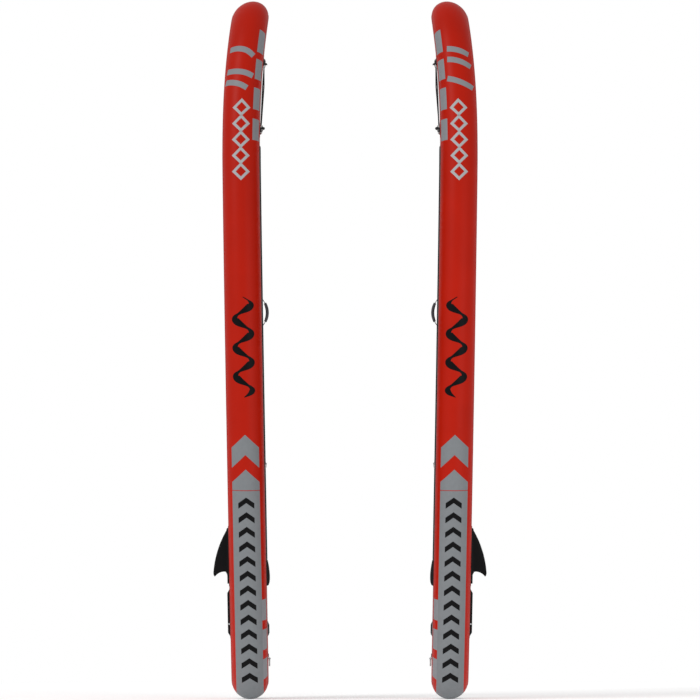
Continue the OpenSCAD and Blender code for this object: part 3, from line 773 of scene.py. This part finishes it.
def grey_band(side):
    """The band goes round the tail and ends in a point on each side."""
    tip, shoulder = float(along(BAND_TIP)), float(along(BAND_SHOULDER))
    outline = [(-tip, 0), (-shoulder, -BAND), (shoulder, -BAND), (tip, 0), (shoulder, BAND), (-shoulder, BAND)]
    lay(side, "band", decal([outline], rail_cuts([outline]), rail_side, LIFT, SINK), PRINT_GREY)


def arrow(tip, notch, drop, half):
    """One pointed arrow, as two arms: its tip, its notch, and how far its ends trail."""
    return [[(tip, 0), (notch, 0), (notch - drop, s * half), (tip - drop, s * half)] for s in (1, -1)]


def small_arrows():
    """A row of plain arrows along the band."""
    count, stroke, half = 13, 23 * MM, 33 * MM
    pitch = (MARKS_TO - MARKS_FROM) / count
    shapes = []
    for i in range(count):
        tip = MARKS_FROM + (i + 0.85) * pitch
        shapes += arrow(tip, tip - stroke, 0.72 * half, half)
    return shapes


def wave():
    """A black ribbon that swells and thins as it winds along."""
    turns, swing = 3.5, 33 * MM
    t = np.linspace(0, 1, 181)
    path = np.stack([WAVE_FROM + (WAVE_TO - WAVE_FROM) * t, swing * np.sin(2 * math.pi * turns * t)], -1)
    swell = np.abs(np.sin(2 * math.pi * turns * t + 0.6)) ** 1.5
    return ribbon(path, (5 + 10 * swell) * MM * np.clip(12 * np.minimum(t, 1 - t) + 0.15, 0, 1))


def lozenges():
    """Five outlined lozenges in a row."""
    count, stroke, half = 5, 11 * MM, 37 * MM
    pitch = (LOZENGES_TO - LOZENGES_FROM) / count
    shapes = []
    for i in range(count):
        mid, wide = LOZENGES_FROM + (i + 0.5) * pitch, 0.56 * pitch
        outer = [(mid + wide, 0), (mid, half), (mid - wide, 0), (mid, -half)]
        share = 1 - stroke * math.hypot(1 / wide, 1 / half)
        inner = [(mid + (x - mid) * share, z * share) for x, z in outer]
        for k in range(4):
            m = (k + 1) % 4
            shapes.append([outer[k], outer[m], inner[m], inner[k]])
    return shapes


def ribbon(path, half):
    """A flat ribbon along a path, as quads. half is its half width, one or many."""
    path = np.asarray(path, float)
    ahead = unit_rows(np.gradient(path, axis=0))
    across = np.stack([-ahead[:, 1], ahead[:, 0]], -1) * np.broadcast_to(half, len(path))[:, None]
    a, b = path + across, path - across
    return [[tuple(a[i]), tuple(b[i]), tuple(b[i + 1]), tuple(a[i + 1])] for i in range(len(path) - 1)]


def nose_bars(hand):
    """Three curved bars across the rail near the nose."""
    if hand > 0:
        bars = (((2706, -0.84), (2704, -0.4), (2694, 0.1), (2674, 0.46)),
                ((2612, -0.88), (2608, -0.4), (2602, 0.1), (2590, 0.52)),
                ((2568, -0.92), (2562, -0.5), (2552, -0.1), (2538, 0.24)))
    else:
        bars = (((2684, -0.74), (2692, -0.4), (2698, 0.0), (2702, 0.40)),
                ((2634, -0.80), (2646, -0.4), (2655, 0.1), (2658, 0.44)),
                ((2544, -0.84), (2557, -0.4), (2570, 0.1), (2579, 0.52)))
    return [quad for bar in bars for quad in ribbon(eased([(x * MM, z * RAIL_R) for x, z in bar]), 11.5 * MM)]


NOSE_STRIPES = ((2665, 2749), (2558, 2638), (2436, 2524), (2311, 2398))
TAIL_STRIPES = ((338, 423), (219, 301), (110, 184))


def stripes(side):
    """Grey stripes across the deck near its ends, which run on over the upper part of the rail."""
    parts = []
    line_x, line_s = EDGE[0][1:], ALONG[1:]
    between = np.interp(STATIONS, line_s, line_x)
    for spans, start in ((NOSE_STRIPES, math.radians(39)), (TAIL_STRIPES, math.asin(BAND / RAIL_R))):
        phi = np.array([start, *RAIL_ROWS[RAIL_ROWS > start + 0.01]])[None, :]
        for low, high in np.array(spans) * MM:
            x = np.array([low, *between[(between > low + 1e-4) & (between < high - 1e-4)], high])[:, None]
            y = half_width(x) * np.linspace(-1, 1, 33)[None, :]
            parts.append(shell(on_deck(x, y, LIFT), on_deck(x, y, -SINK)))
            for hand in (1, -1):
                s = hand * np.interp(x, line_x, line_s)
                parts.append(shell(rail(s, phi, LIFT), rail(s, phi, -SINK)))
    lay(side, "deck_stripes", joined(parts), PRINT_PALE)


def hull(side):
    hull_rail(side)
    faces = (("deck", on_deck, 1), ("bottom", on_bottom, -1))
    for name, surface, _ in faces:
        flat_skin(side, f"hull_{name}", f"{name}_skin", surface)
    for name, surface, sign in faces:
        seam_tape(side, f"tape_{name}", f"{name}_seam_tape", surface, sign)
    grey_band(side)
    rail_print(side, "band_arrow", arrow(ARROW_TIP, ARROW_NOTCH, 54 * MM, BAND), PRINT_GREY)
    rail_print(side, "nose_bars", nose_bars, PRINT_PALE)
    rail_print(side, "lozenges", lozenges(), PRINT_BRIGHT)
    rail_print(side, "wave", wave(), PRINT_BLACK)
    rail_print(side, "small_arrows", small_arrows(), PRINT_BLACK, 2 * LIFT)
    edge = [(BAND_LINE, -BAND), (BAND_LINE + 2.5 * MM, -BAND), (BAND_LINE + 2.5 * MM, BAND), (BAND_LINE, BAND)]
    rail_print(side, "band_line", [edge], TAPE, 2 * LIFT)
    stripes(side)


# ---- deck pad ----

PAD_T = 5 * MM
PAD_MARGIN = 45 * MM
BASE_T = 2.4 * MM
GROOVE = 7 * MM
pad_x = local_box("left_deck_pad")[0]
kick_x = local_box("left_kick_pad")[0]
KICK_H = 14 * MM
SEAT_X = middle(local_box("left_seat_ring_patches")[0])
SEAT_Y = local_box("left_seat_ring_patches")[1][1] - 32 * MM
HANDLE_X = middle(local_box("left_handle_patches")[0])
CUT_R = 36 * MM
HANDLE_CUT = 252 * MM, 78 * MM
FRONT_R = WIDTH
PANEL_MARGIN = 3 * MM
GROOVES = [v * MM for v in (790, 1180, 1470, 1850, 2090)]


def pad_half(x, margin=0.0):
    """Half the width of the pad at x, less a margin."""
    inset_by = PAD_MARGIN + margin
    line_x = EDGE[0][1:] - inset_by * EDGE[2][1:]
    return np.interp(x, line_x, EDGE[1][1:] - inset_by * EDGE[3][1:])


def round_line(x, y, r, n=40):
    a = np.linspace(0, 2 * math.pi, n, endpoint=False)
    return [(x + r * math.cos(t), y + r * math.sin(t)) for t in a]


def pill_line(x, length, width, n=16):
    r = width / 2
    half = length / 2 - r
    right = [(x + half + r * math.cos(t), r * math.sin(t)) for t in np.linspace(-math.pi / 2, math.pi / 2, n)]
    return right + [(2 * x - px, -py) for px, py in right]


def front_x(y, margin=0.0):
    """The rounded front end of the pad."""
    return pad_x[1] - FRONT_R + math.sqrt((FRONT_R - margin) ** 2 - y * y)


def vee_x(x, y):
    """A groove across the pad, swept back towards the edges."""
    return x - 0.32 * abs(y)


def panel_line(rear, front, margin):
    """The outline of a panel, between two functions that give the x of its ends at each y."""
    ends = []
    for end in (rear, front):
        y = 0.2
        for _ in range(30):
            y = float(pad_half(end(y), margin))
        ends.append(y)
    lower = [(rear(y), y) for y in np.linspace(ends[0], -ends[0], 33)]
    upper = [(front(y), y) for y in np.linspace(-ends[1], ends[1], 33)]
    x = np.linspace(rear(ends[0]), front(ends[1]), 40)[1:-1]
    side = list(zip(x, pad_half(x, margin)))
    return lower + [(x, -y) for x, y in side] + upper + side[::-1]


def pad_holes(wider, longer):
    """The cut-outs round the seat rings and the handle."""
    seats = [round_line(SEAT_X, s * SEAT_Y, CUT_R + wider)[::-1] for s in (1, -1)]
    return seats, pill_line(HANDLE_X, *(c + longer for c in HANDLE_CUT))[::-1]


def pad(side):
    edge = panel_line(lambda y: pad_x[0], front_x, 0.0)
    seats, handle_hole = pad_holes(0, 0)
    bends = [(0, x) for x in np.arange(pad_x[0] + 0.03, pad_x[1], 0.06)]
    base = plate([edge, *seats, handle_hole], 0.0, BASE_T, 0.3 * MM, bends, on_deck)
    piece = lay(side, "pad_base", base, FOAM_BASE, "deck_pad")
    ends = [lambda y: pad_x[0] + 2 * MM]
    for x in GROOVES:
        ends += [(lambda y, x=x: vee_x(x, y) - GROOVE / 2), (lambda y, x=x: vee_x(x, y) + GROOVE / 2)]
    ends.append(lambda y: front_x(y, PANEL_MARGIN))
    seats, handle_hole = pad_holes(0.5 * MM, 6 * MM)
    parts = []
    for rear, front in zip(ends[::2], ends[1::2]):
        outlines = [panel_line(rear, front, PANEL_MARGIN)]
        if rear(0) < SEAT_X < front(0):
            outlines += seats
        if rear(0) < HANDLE_X < front(0):
            outlines.append(handle_hole)
        parts.append(plate(outlines, BASE_T - 0.3 * MM, PAD_T, 1.0 * MM, bends, on_deck))
    piece = lay(side, "pad_panels", joined(parts), FOAM_DARK)


def kick(side):
    """A wedge for the rear foot, with grooves across it."""
    t = np.linspace(0, 1, 140)
    x = kick_x[0] + (kick_x[1] - kick_x[0]) * t
    high = PAD_T + (KICK_H - PAD_T) * np.sin(math.pi * t**0.6).clip(0) ** 0.7
    groove = np.zeros_like(t)
    for g in np.linspace(0.16, 0.86, 6):
        groove = np.maximum(groove, 2.2 * MM * np.exp(-(((t - g) / 0.016) ** 4)))
    share = np.concatenate([-1 + np.array([0, 0.003, 0.008, 0.016, 0.03]), np.linspace(-0.95, 0.95, 31)])
    share = np.concatenate([share, -share[4::-1]])
    room = np.minimum((1 - abs(share)) * 0.25, np.minimum(x - x[0], x[-1] - x)[:, None])
    eased_edge = 1.6 * MM * (1 - np.sqrt(np.clip(1 - (1 - np.clip(room / (2.5 * MM), 0, 1)) ** 2, 0, 1)))
    inner = np.clip((1 - abs(share)) * 12, 0, 1)
    y = pad_half(x)[:, None] * share[None, :]
    top = on_deck(x[:, None], y, high[:, None] - groove[:, None] * inner[None, :] - eased_edge)
    wedge = shell(top, on_deck(x[:, None], y, 0.0))
    piece = lay(side, "kick", wedge, FOAM_PLAIN, "kick_pad")


# ---- stitches ----


def dash(length, radius):
    """One stitch along X."""
    rows = [(0.0, 0.5), (0.5, 0.35), (0.8, 0.0), (0.5, -0.35), (0.0, -0.5)]
    angles = np.linspace(0, 2 * math.pi, 6, endpoint=False)
    points = [[x * length, r * 1.25 * radius * math.cos(a), r * 1.25 * radius * math.sin(a)]
              for r, x in rows[1:-1] for a in angles]
    points = [[length / 2, 0, 0], *points, [-length / 2, 0, 0]]
    faces = [(0, 1 + j, 1 + (j + 1) % 6) for j in range(6)]
    faces += [(1 + 6 * i + j, 7 + 6 * i + j, 7 + 6 * i + (j + 1) % 6, 1 + 6 * i + (j + 1) % 6)
              for i in range(2) for j in range(6)]
    faces += [(19, 13 + (j + 1) % 6, 13 + j) for j in range(6)]
    return np.array(points), faces


def seam(lines, height, pitch, length, radius):
    """Stitches along straight lines ((x1, y1), (x2, y2))."""
    parts = []
    for a, b in np.array(lines, float):
        count = max(1, int(np.linalg.norm(b - a) / pitch))
        turn = Matrix.Rotation(math.atan2(b[1] - a[1], b[0] - a[0]), 4, "Z")
        for i in range(count):
            p = a + (b - a) * (i + 0.5) / count
            parts.append(moved(dash(length, radius), Matrix.Translation((*p, height)) @ turn))
    return joined(parts)


def box_seam(x1, x2, half):
    """A crossed box."""
    a, b, c, d = (x1, -half), (x2, -half), (x2, half), (x1, half)
    return [(a, b), (b, c), (c, d), (d, a), (a, c), (b, d)]


# ---- rings, their patches and their loops ----

PATCH_R, PATCH_T = 32 * MM, 1.5 * MM
WEB_T = 1.6 * MM
PLY = 1.2 * MM  # webbing where it is sewn flat, so that a ring can lie over it
RING_GAP = 0.3 * MM


def patch(x, y):
    """A round patch with a welded groove inside its edge: rim, middle, and the floor of the groove."""
    outer, groove, inner, floor = (round_line(x, y, PATCH_R - d * MM, 56) for d in (0, 5, 6.2, 4))
    bends = [(0, x + k * PATCH_R / 4) for k in range(-3, 4)]
    layers = (([outer, groove[::-1]], PATCH_T, 0.5), ([inner], PATCH_T, 0.4), ([floor], PATCH_T - 0.6 * MM, 0.1))
    return joined([plate(lines, 0.0, top, bevel * MM, bends, on_deck) for lines, top, bevel in layers])


def web_loop(in_w, wire_r):
    """Webbing folded round a ring's bar, and the stitches that close it. The bar is the Y axis."""
    h = bar_height(wire_r)
    r = wire_r + RING_GAP + PLY / 2
    low = PATCH_T + PLY / 2
    path = [(21.0 * MM, low), (14 * MM, low), (7 * MM, low)]
    path += [(r * math.cos(t), h + r * math.sin(t)) for t in np.radians(np.arange(-90, -331, -15))]
    path += [(r + 2.2 * MM, low + 2.7 * PLY), (r + 4.4 * MM, low + 1.5 * PLY), (r + 7 * MM, low + PLY),
             (14 * MM, low + PLY), (21.4 * MM, low + PLY)]
    path = eased([(x, 0, z) for x, z in path])
    strap = sweep(path, rounded_box(in_w - 6 * MM, PLY * 0.94, 0.5 * MM), start=(0, 1, 0))
    lines = box_seam(11.5 * MM, 19.5 * MM, in_w / 2 - 5.5 * MM)
    return strap, seam(lines, low + 1.5 * PLY, 3.2 * MM, 2.4 * MM, 0.3 * MM)


def d_ring(in_w, wire_r, leg=0.0):
    """A ring whose straight bar is on the Y axis, with its bow towards -X."""
    b = in_w / 2 + wire_r
    path = [(0.0, y) for y in np.linspace(-b, b, 18)]
    if leg:
        path += [(-leg * k / 4, b) for k in range(1, 4)]
    path += [(-leg - b * math.sin(t), b * math.cos(t)) for t in np.linspace(0, math.pi, 40)][0 if leg else 1:]
    if leg:
        path += [(-leg * k / 4, -b) for k in range(3, 0, -1)]
    else:
        path = path[:-1]
    p = np.array([(x, y, 0) for x, y in path])
    for _ in range(2):
        nxt = np.roll(p, -1, 0)
        p = np.stack([0.75 * p + 0.25 * nxt, 0.25 * p + 0.75 * nxt], 1).reshape(-1, 3)
    return sweep(p, circle(wire_r, 16), closed=True)


def loops(side, name, spots, in_w, wire_r):
    places = [deck_frame(side, x, y, 0, yaw) for x, y, yaw in spots]
    strap, thread = web_loop(in_w, wire_r)
    put(side, f"{name}_webbing", joined([moved(strap, p) for p in places]), None, WEBBING, None)
    put(side, f"{name}_stitches", joined([moved(thread, p) for p in places]), None, THREAD)


def patches(side, name, spots, node):
    discs = joined([(world(side, p[0]), p[1]) for p in (patch(x, y) for x, y, _ in spots)])
    put(side, name, discs, None, PATCH, node)


BUNGEE_FRONT, BUNGEE_REAR = LENGTH - 256 * MM, LENGTH - 535 * MM
BUNGEE_SPOTS = [(BUNGEE_FRONT, s * 88 * MM, s * 65) for s in (-1, 1)]
BUNGEE_SPOTS += [(BUNGEE_REAR, s * 150 * MM, 180 - s * 65) for s in (-1, 1)]
RING_W, RING_R = 26 * MM, 2.5 * MM
LEASH_W, LEASH_R, LEASH_LEG = 34 * MM, 3 * MM, 9 * MM
LEASH_X = middle(local_box("left_leash_patch")[0])


def bar_height(wire_r):
    return PATCH_T + WEB_T + RING_GAP + wire_r


def rings(side):
    height = bar_height(RING_R)
    parts = [moved(d_ring(RING_W, RING_R), deck_frame(side, x, y, height, yaw, 15)) for x, y, yaw in BUNGEE_SPOTS]
    put(side, "bungee_d_rings", joined(parts), None, STEEL, "bungee_rings")
    seats = [(SEAT_X, s * SEAT_Y, 0) for s in (1, -1)]
    leash = [(LEASH_X, 0, 0)]
    patches(side, "bungee_patch_discs", BUNGEE_SPOTS, "bungee_patches")
    loops(side, "bungee", BUNGEE_SPOTS, RING_W, RING_R)
    patches(side, "seat_patch_discs", seats, "seat_ring_patches")
    loops(side, "seat", seats, RING_W, RING_R)
    for (x, y, _), hand in zip(seats, ("port", "starboard")):
        node = f"seat_ring_{hand}"
        put(side, f"seat_d_ring_{hand}", d_ring(RING_W, RING_R), deck_frame(side, x, y, height), STEEL, node,
            node)
    patches(side, "leash_patch_disc", leash, "leash_patch")
    loops(side, "leash", leash, LEASH_W, LEASH_R)
    put(side, "leash_d_ring", d_ring(LEASH_W, LEASH_R, LEASH_LEG), deck_frame(side, LEASH_X, 0, bar_height(LEASH_R)),
        STEEL, "leash_ring", "leash_ring")


# ---- bungee ----

CORD_R = 2.5 * MM
# The same route as in the CAD: ahead of the middle of the lacing, to port, and above the deck, in metres
LACING = [
    (-0.133, 0, 0.016), (-0.133, 0.115, 0.016), (-0.133, 0.133, 0.016), (-0.134, 0.138, 0.016),
    (-0.1355, 0.141, 0.013), (-0.1355, 0.1415, 0.0085), (-0.1345, 0.139, 0.005), (-0.1315, 0.134, 0.0045),
    (-0.125, 0.128, 0.0055), (0.04, 0, 0.006), (0.126, -0.067, 0.0055), (0.1315, -0.072, 0.0045),
    (0.1345, -0.077, 0.005), (0.1355, -0.0795, 0.0085), (0.1355, -0.079, 0.013), (0.134, -0.076, 0.016),
    (0.133, -0.071, 0.016), (0.133, -0.055, 0.016), (0.133, 0.055, 0.016), (0.133, 0.071, 0.016),
    (0.134, 0.076, 0.016), (0.1355, 0.079, 0.013), (0.1355, 0.0795, 0.0085), (0.1345, 0.077, 0.005),
    (0.1315, 0.072, 0.0045), (0.126, 0.067, 0.0055), (0.04, 0, 0.0115), (-0.125, -0.128, 0.0055),
    (-0.1315, -0.134, 0.0045), (-0.1345, -0.139, 0.005), (-0.1355, -0.1415, 0.0085), (-0.1355, -0.141, 0.013),
    (-0.134, -0.138, 0.016), (-0.133, -0.133, 0.016), (-0.133, -0.115, 0.016), (-0.133, -0.002, 0.016),
]


def bungee(side):
    middle_x = (BUNGEE_FRONT + BUNGEE_REAR) / 2
    route = [on_deck(middle_x + x, y, h) for x, y, h in LACING]
    path = []
    for a, b in zip(route, route[1:]):  # long runs keep their line
        path.append(a)
        if np.linalg.norm(b - a) > 0.015:
            path += [a + (b - a) * k for k in (0.08, 0.5, 0.92)]
    path = eased([*path, route[-1]])
    cord = sweep(path, circle(CORD_R, 14), v_length=1.0)
    turns = np.linspace(0, 4 * math.pi, 60)
    knot = np.stack([4.0 * MM * np.cos(turns), (turns / (4 * math.pi) - 0.5) * 9 * MM, 4.0 * MM * np.sin(turns)], -1)
    tails = [eased([(x * s * MM, y * s * MM, z * MM)
                    for x, y, z in ((4, -4.5, 0), (5, -5, -3), (7, -7, -5), (12, -9, -5.2))]) for s in (1, -1)]
    knot_at = on_deck(middle_x + LACING[0][0], 0, LACING[0][2])
    knot_parts = [sweep(k + knot_at, circle(2.1 * MM, 10), v_length=1.0) for k in (knot, *tails)]
    parts = [(world(side, p[0]), *p[1:]) for p in (cord, *knot_parts)]
    put(side, "bungee_elastic", joined(parts), None, BRAID, "bungee_cord")


# ---- carry handle ----

STRAP_T, STRAP_W = 3 * MM, 38 * MM
STRAP_TOP = 25 * MM
HANDLE_L = 120 * MM
ARCH_R = ((HANDLE_L / 2) ** 2 + (STRAP_TOP - PATCH_T) ** 2) / (2 * (STRAP_TOP - PATCH_T))
ARCH_ANGLE = math.asin(HANDLE_L / 2 / ARCH_R)
GRIP_T, GRIP_W = 13 * MM, 50 * MM


def arch_point(a, r):
    return r * math.sin(a), STRAP_TOP - ARCH_R + r * math.cos(a)


def handle(side):
    place = deck_frame(side, HANDLE_X, 0)
    low = PATCH_T + STRAP_T / 2
    arch = [arch_point(a, ARCH_R - STRAP_T / 2) for a in np.linspace(-0.93 * ARCH_ANGLE, 0.93 * ARCH_ANGLE, 31)]
    foot = HANDLE_L / 2 - STRAP_T
    ends = [(foot + 28 * MM, low), (foot + 14 * MM, low), (foot + 4 * MM, low)]
    path = [(-x, z) for x, z in ends] + arch + ends[::-1]
    strap = sweep(eased([(x, 0, z) for x, z in path]), rounded_box(STRAP_W, STRAP_T * 0.97, 1.2 * MM), start=(0, 1, 0))
    put(side, "handle_webbing", strap, place, WEBBING, "handle_strap")
    threads = []
    for s in (1, -1):
        x1, x2 = s * (foot + 6 * MM), s * (foot + 25 * MM)
        threads.append(seam(box_seam(x1, x2, STRAP_W / 2 - 4 * MM), low + STRAP_T / 2, 3.6 * MM, 2.7 * MM, 0.42 * MM))
    put(side, "handle_stitches", joined(threads), place, THREAD)
    handle_ends(side)
    grip(side, place)


def handle_ends(side):
    """Two patches with a half-round outer end."""
    w, reach = 35 * MM, HANDLE_L / 2 + 62 * MM
    parts = []
    for s in (1, -1):
        for shrink, top in ((0.0, PATCH_T - 0.5 * MM), (5 * MM, PATCH_T)):
            r = w - shrink
            arc = [(HANDLE_X + s * (reach - w + r * math.cos(t)), s * r * math.sin(t))
                   for t in np.linspace(-math.pi / 2, math.pi / 2, 25)]
            back = HANDLE_X + s * (HANDLE_L / 2 + shrink)
            outline = [*arc, (back, s * r), (back, -s * r)]
            bends = [(0, HANDLE_X + s * (HANDLE_L / 2 + k * 10 * MM)) for k in range(1, 6)]
            parts.append(plate([outline], 0.0, top, 0.4 * MM, bends, on_deck))
    lay(side, "handle_patch_ends", joined(parts), PATCH, "handle_patches")


def grip(side, place):
    """A padded sleeve round the strap: fuller in the middle, and drawn in at its bound ends."""
    angle = ARCH_ANGLE * 0.62
    a = np.linspace(-angle, angle, 61)
    path = [(x, 0, z) for x, z in (arch_point(t, ARCH_R - STRAP_T / 2) for t in a)]
    base = rounded_box(GRIP_W, GRIP_T, GRIP_T / 2 - 0.5 * MM, 8)
    t = np.abs(a / angle)
    full = np.where(t > 0.86, 0.80, 0.86 + 0.14 * np.cos(np.minimum(t / 0.86, 1) * math.pi / 2) ** 0.5)
    full = np.convolve(np.pad(full, 2, mode="edge"), np.ones(5) / 5, mode="valid")
    ripple = 1 + 0.012 * np.sin(a / angle * 40) * (t > 0.5)
    section = base[None] * np.stack([0.93 + 0.07 * full, full * ripple], -1)[:, None]
    sleeve = sweep(path, section, start=(0, 1, 0))
    piece = put(side, "handle_sleeve", sleeve, place, GRIP, "handle_grip", sharp=60)
    ends = [[p for p, v in zip(path, a * s / angle) if v > 0.86] for s in (-1, 1)]
    bands = [sweep(end, base * np.array([0.955, 0.87]), start=(0, 1, 0)) for end in ends]
    put(side, "handle_binding", joined(bands), place, WEBBING)


# ---- valve ----


def valve(side):
    place = deck_frame(side, middle(local_box("left_valve_body")[0]), 0)
    softened(side, "valve_body", "valve_housing", 0.6 * MM, VALVE_GREY)
    softened(side, "valve_cap_tether", "valve_strap", 0.35 * MM, SEAL_BLACK)
    profile = [(0.02, 3.1), (17.8, 3.1), (18, -6.6), (18.4, -7), (20.1, -7), (20.6, -6.4), (20.6, 3.0), (24.2, 3.05),
               (24.8, 3.4, 1), (25, 3.8, 1), (25, 5.9, 1), (24.7, 6.3, 1), (24.0, 6.5), (21.6, 6.5), (20.8, 6.3),
               (20.2, 5.6), (19.4, 5.35), (8.0, 5.3), (7.4, 5.6), (7.0, 5.65), (0.02, 5.65)]
    profile = [(p[0] * MM, p[1] * MM, *p[2:]) for p in profile]
    disc = lathe(profile, 288, lambda a: 1 - 0.010 * (1 + np.cos(36 * a)))
    x = np.array([-19.2, -19.0, -18.2, -17, -9, 0, 9, 17, 18.2, 19.0, 19.2]) * MM
    scale = np.array([0.2, 0.6, 0.9, 1, 1, 1, 1, 1, 0.9, 0.6, 0.2])
    bar = sweep([(v, 0, 6.9 * MM) for v in x], rounded_box(4 * MM, 3.1 * MM, 1.2 * MM)[None] * scale[:, None, None],
                start=(0, 1, 0))
    put(side, "valve_lid", joined([disc, bar]), place, CAP_BLACK, "valve_cap", "valve_cap", 50)
    spring(side, place)


def spring(side, place):
    """The valve's spring, between the floor of the barrel and the underside of the stem's head."""
    turns, radius, wire_r, clear = 5, 5 * MM, 0.7 * MM, 0.1 * MM
    floor_z, head_z = -39 * MM, -15 * MM  # of the barrel, and the underside of the stem's head
    t = np.linspace(0, 1, 220)
    a = 2 * math.pi * turns * t
    low, high = floor_z + wire_r + clear, head_z - wire_r - clear
    path = np.stack([radius * np.cos(a), radius * np.sin(a), low + (high - low) * t], -1)
    coil = put(side, "valve_coil", sweep(path, circle(wire_r, 10)), place, STEEL, "valve_spring", sharp=60)
    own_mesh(coil)


# ---- fins ----

FIN_L, FIN_H, FIN_T, HINGE = 228 * MM, 67 * MM, 7 * MM, 6 * MM
FIN_MID, FIN_SIDE = 594 * MM, 170 * MM


def bend(p, q, r, n):
    t = np.linspace(0, 1, n)[:, None]
    return (1 - t) ** 2 * np.array(p) + 2 * t * (1 - t) * np.array(q) + t * t * np.array(r)


def blade():
    """A foil: round at the leading edge, thin at the trailing edge and towards the tip."""
    up, foot = FIN_H - HINGE, FIN_L / 2
    tip = (-foot + 46 * MM, up)
    lead = bend((foot, 0), (foot * 0.25, up * 0.86), tip, 60)
    back = (-foot + 30 * MM, up - 6 * MM)
    heel = (-foot + 50 * MM, up * 0.18)
    trail = np.concatenate([
        bend((-foot, 0), (-foot + 40 * MM, 0), heel, 20),
        bend(heel, (-foot + 52 * MM, up * 0.62), back, 30)[1:],
        bend(back, (-foot + 36 * MM, up), tip, 16)[1:]])
    z = up * np.sin(np.linspace(0, 1, 44) * math.pi / 2)
    front = np.interp(z, lead[:, 1], lead[:, 0])
    rear = np.interp(z, np.maximum.accumulate(trail[:, 1] + np.arange(len(trail)) * 1e-9), trail[:, 0])
    c = 0.5 - 0.5 * np.cos(np.linspace(0, math.pi, 26))
    foil = 2.969 * np.sqrt(c) - 1.26 * c - 3.516 * c**2 + 2.843 * c**3 - 1.036 * c**4
    foil = np.maximum(foil / foil.max(), 0.10 * (c > 0.5) * (c < 0.999))
    loop_c = np.concatenate([c, c[-2:0:-1]])
    loop_y = np.concatenate([foil, -foil[-2:0:-1]])
    thick = FIN_T / 2 * (1 - 0.62 * (z / up) ** 1.3)
    chord = front - rear
    thick = np.minimum(thick, 0.35 * chord + 0.1 * MM)
    points = np.stack([
        front[:, None] - chord[:, None] * loop_c[None, :], thick[:, None] * loop_y[None, :],
        np.broadcast_to(z[:, None], (len(z), len(loop_c)))], -1)
    rows, cols = points.shape[:2]
    faces = grid_faces(rows, cols, close_cols=True, ends=True)
    ends = np.array([0, 0.4, 1.2, 2.6]) * MM
    x = np.concatenate([-foot + ends, foot - ends[::-1]])
    scale = np.array([0.35, 0.7, 0.93, 1, 1, 0.93, 0.7, 0.35])
    bead = sweep([(v, 0, 0) for v in x], circle(FIN_T / 2, 20)[None] * scale[:, None, None])
    return joined([(points.reshape(-1, 3), faces), bead[:2]])


def fins(side):
    softened(side, "fin_bases", "fin_feet", 0.7 * MM, FIN_BLACK)
    softened(side, "fin_box", "fin_case", 0.9 * MM, FIN_BLACK)
    for s, hand in ((1, "port"), (-1, "starboard")):
        fin = f"{side}_fin_{hand}"
        place = bottom_frame(side, FIN_MID, s * FIN_SIDE, HINGE)
        points, faces, _ = moved(blade(), place)
        piece = add_piece(f"{side}_fin_blade_{hand}", (points, faces), FIN_BLACK, None, (fin,), 60)
        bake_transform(piece)


# ---- CAD nodes that keep their shape ----

KEPT = {
    "drop_stitch_threads": STITCH_CORE, "valve_gasket": SEAL_BLACK, "valve_nut": VALVE_GREY, "valve_stem": STEM_PALE,
}


def keep(side):
    for node, material in KEPT.items():
        mesh = bpy.data.objects[f"{side}_{node}"].data
        mesh.materials.clear()
        mesh.materials.append(material)


# ---- the view ----

FRAME_HEIGHT = 2.912  # of the picture, at the boards
CAMERA_BACK = 80.0
STUDIO = 0.62  # how bright the white studio is, as the object meets it


def camera_and_lights():
    data = bpy.data.cameras.new("camera")
    data.sensor_width = 36
    data.lens = 36 * CAMERA_BACK / FRAME_HEIGHT
    data.clip_start = 1
    data.clip_end = 200
    camera = bpy.data.objects.new("camera", data)
    camera.location = (0, -CAMERA_BACK, LENGTH / 2)
    camera.rotation_euler = (math.radians(90), 0, 0)
    bpy.context.scene.collection.objects.link(camera)
    bpy.context.scene.camera = camera
    add_light("key", "SUN", (-1.0, -0.9, 0.8), 1.1, angle=math.radians(25))
    add_light("fill", "AREA", (2.4, -3.4, 1.6), 22, size=2.4)
    sky = bpy.data.worlds.new("sky")
    sky.use_nodes = True
    tree = sky.node_tree
    background = tree.nodes["Background"]
    background.inputs["Color"].default_value = (1, 1, 1, 1)
    seen = tree.nodes.new("ShaderNodeLightPath").outputs["Is Camera Ray"]
    strength = tree.nodes.new("ShaderNodeMapRange")
    strength.inputs["To Min"].default_value = STUDIO
    tree.links.new(seen, strength.inputs["Value"])
    tree.links.new(strength.outputs[0], background.inputs["Strength"])
    bpy.context.scene.world = sky
    bpy.context.scene.view_settings.view_transform = "Standard"


def add_light(name, kind, place, energy, **settings):
    light = bpy.data.lights.new(name, kind)
    light.energy = energy
    for key, value in settings.items():
        setattr(light, key, value)
    lamp = bpy.data.objects.new(name, light)
    lamp.location = place
    aim = Vector((0, 0, LENGTH / 2)) - Vector(place) if kind == "AREA" else -Vector(place)
    lamp.rotation_euler = aim.to_track_quat("-Z", "Y").to_euler()
    bpy.context.scene.collection.objects.link(lamp)


def floor():
    disc = lathe([(0.01, 0.0), (4.0, 0.0), (4.0, -0.02), (0.01, -0.02)], 96)
    piece = add_piece("floor", disc, floor_surface("floor"))
    piece.location.z = -0.1 * MM


camera_and_lights()
floor()
for side in SIDES:
    keep(side)
    hull(side)
    pad(side)
    kick(side)
    rings(side)
    bungee(side)
    handle(side)
    valve(side)
    fins(side)
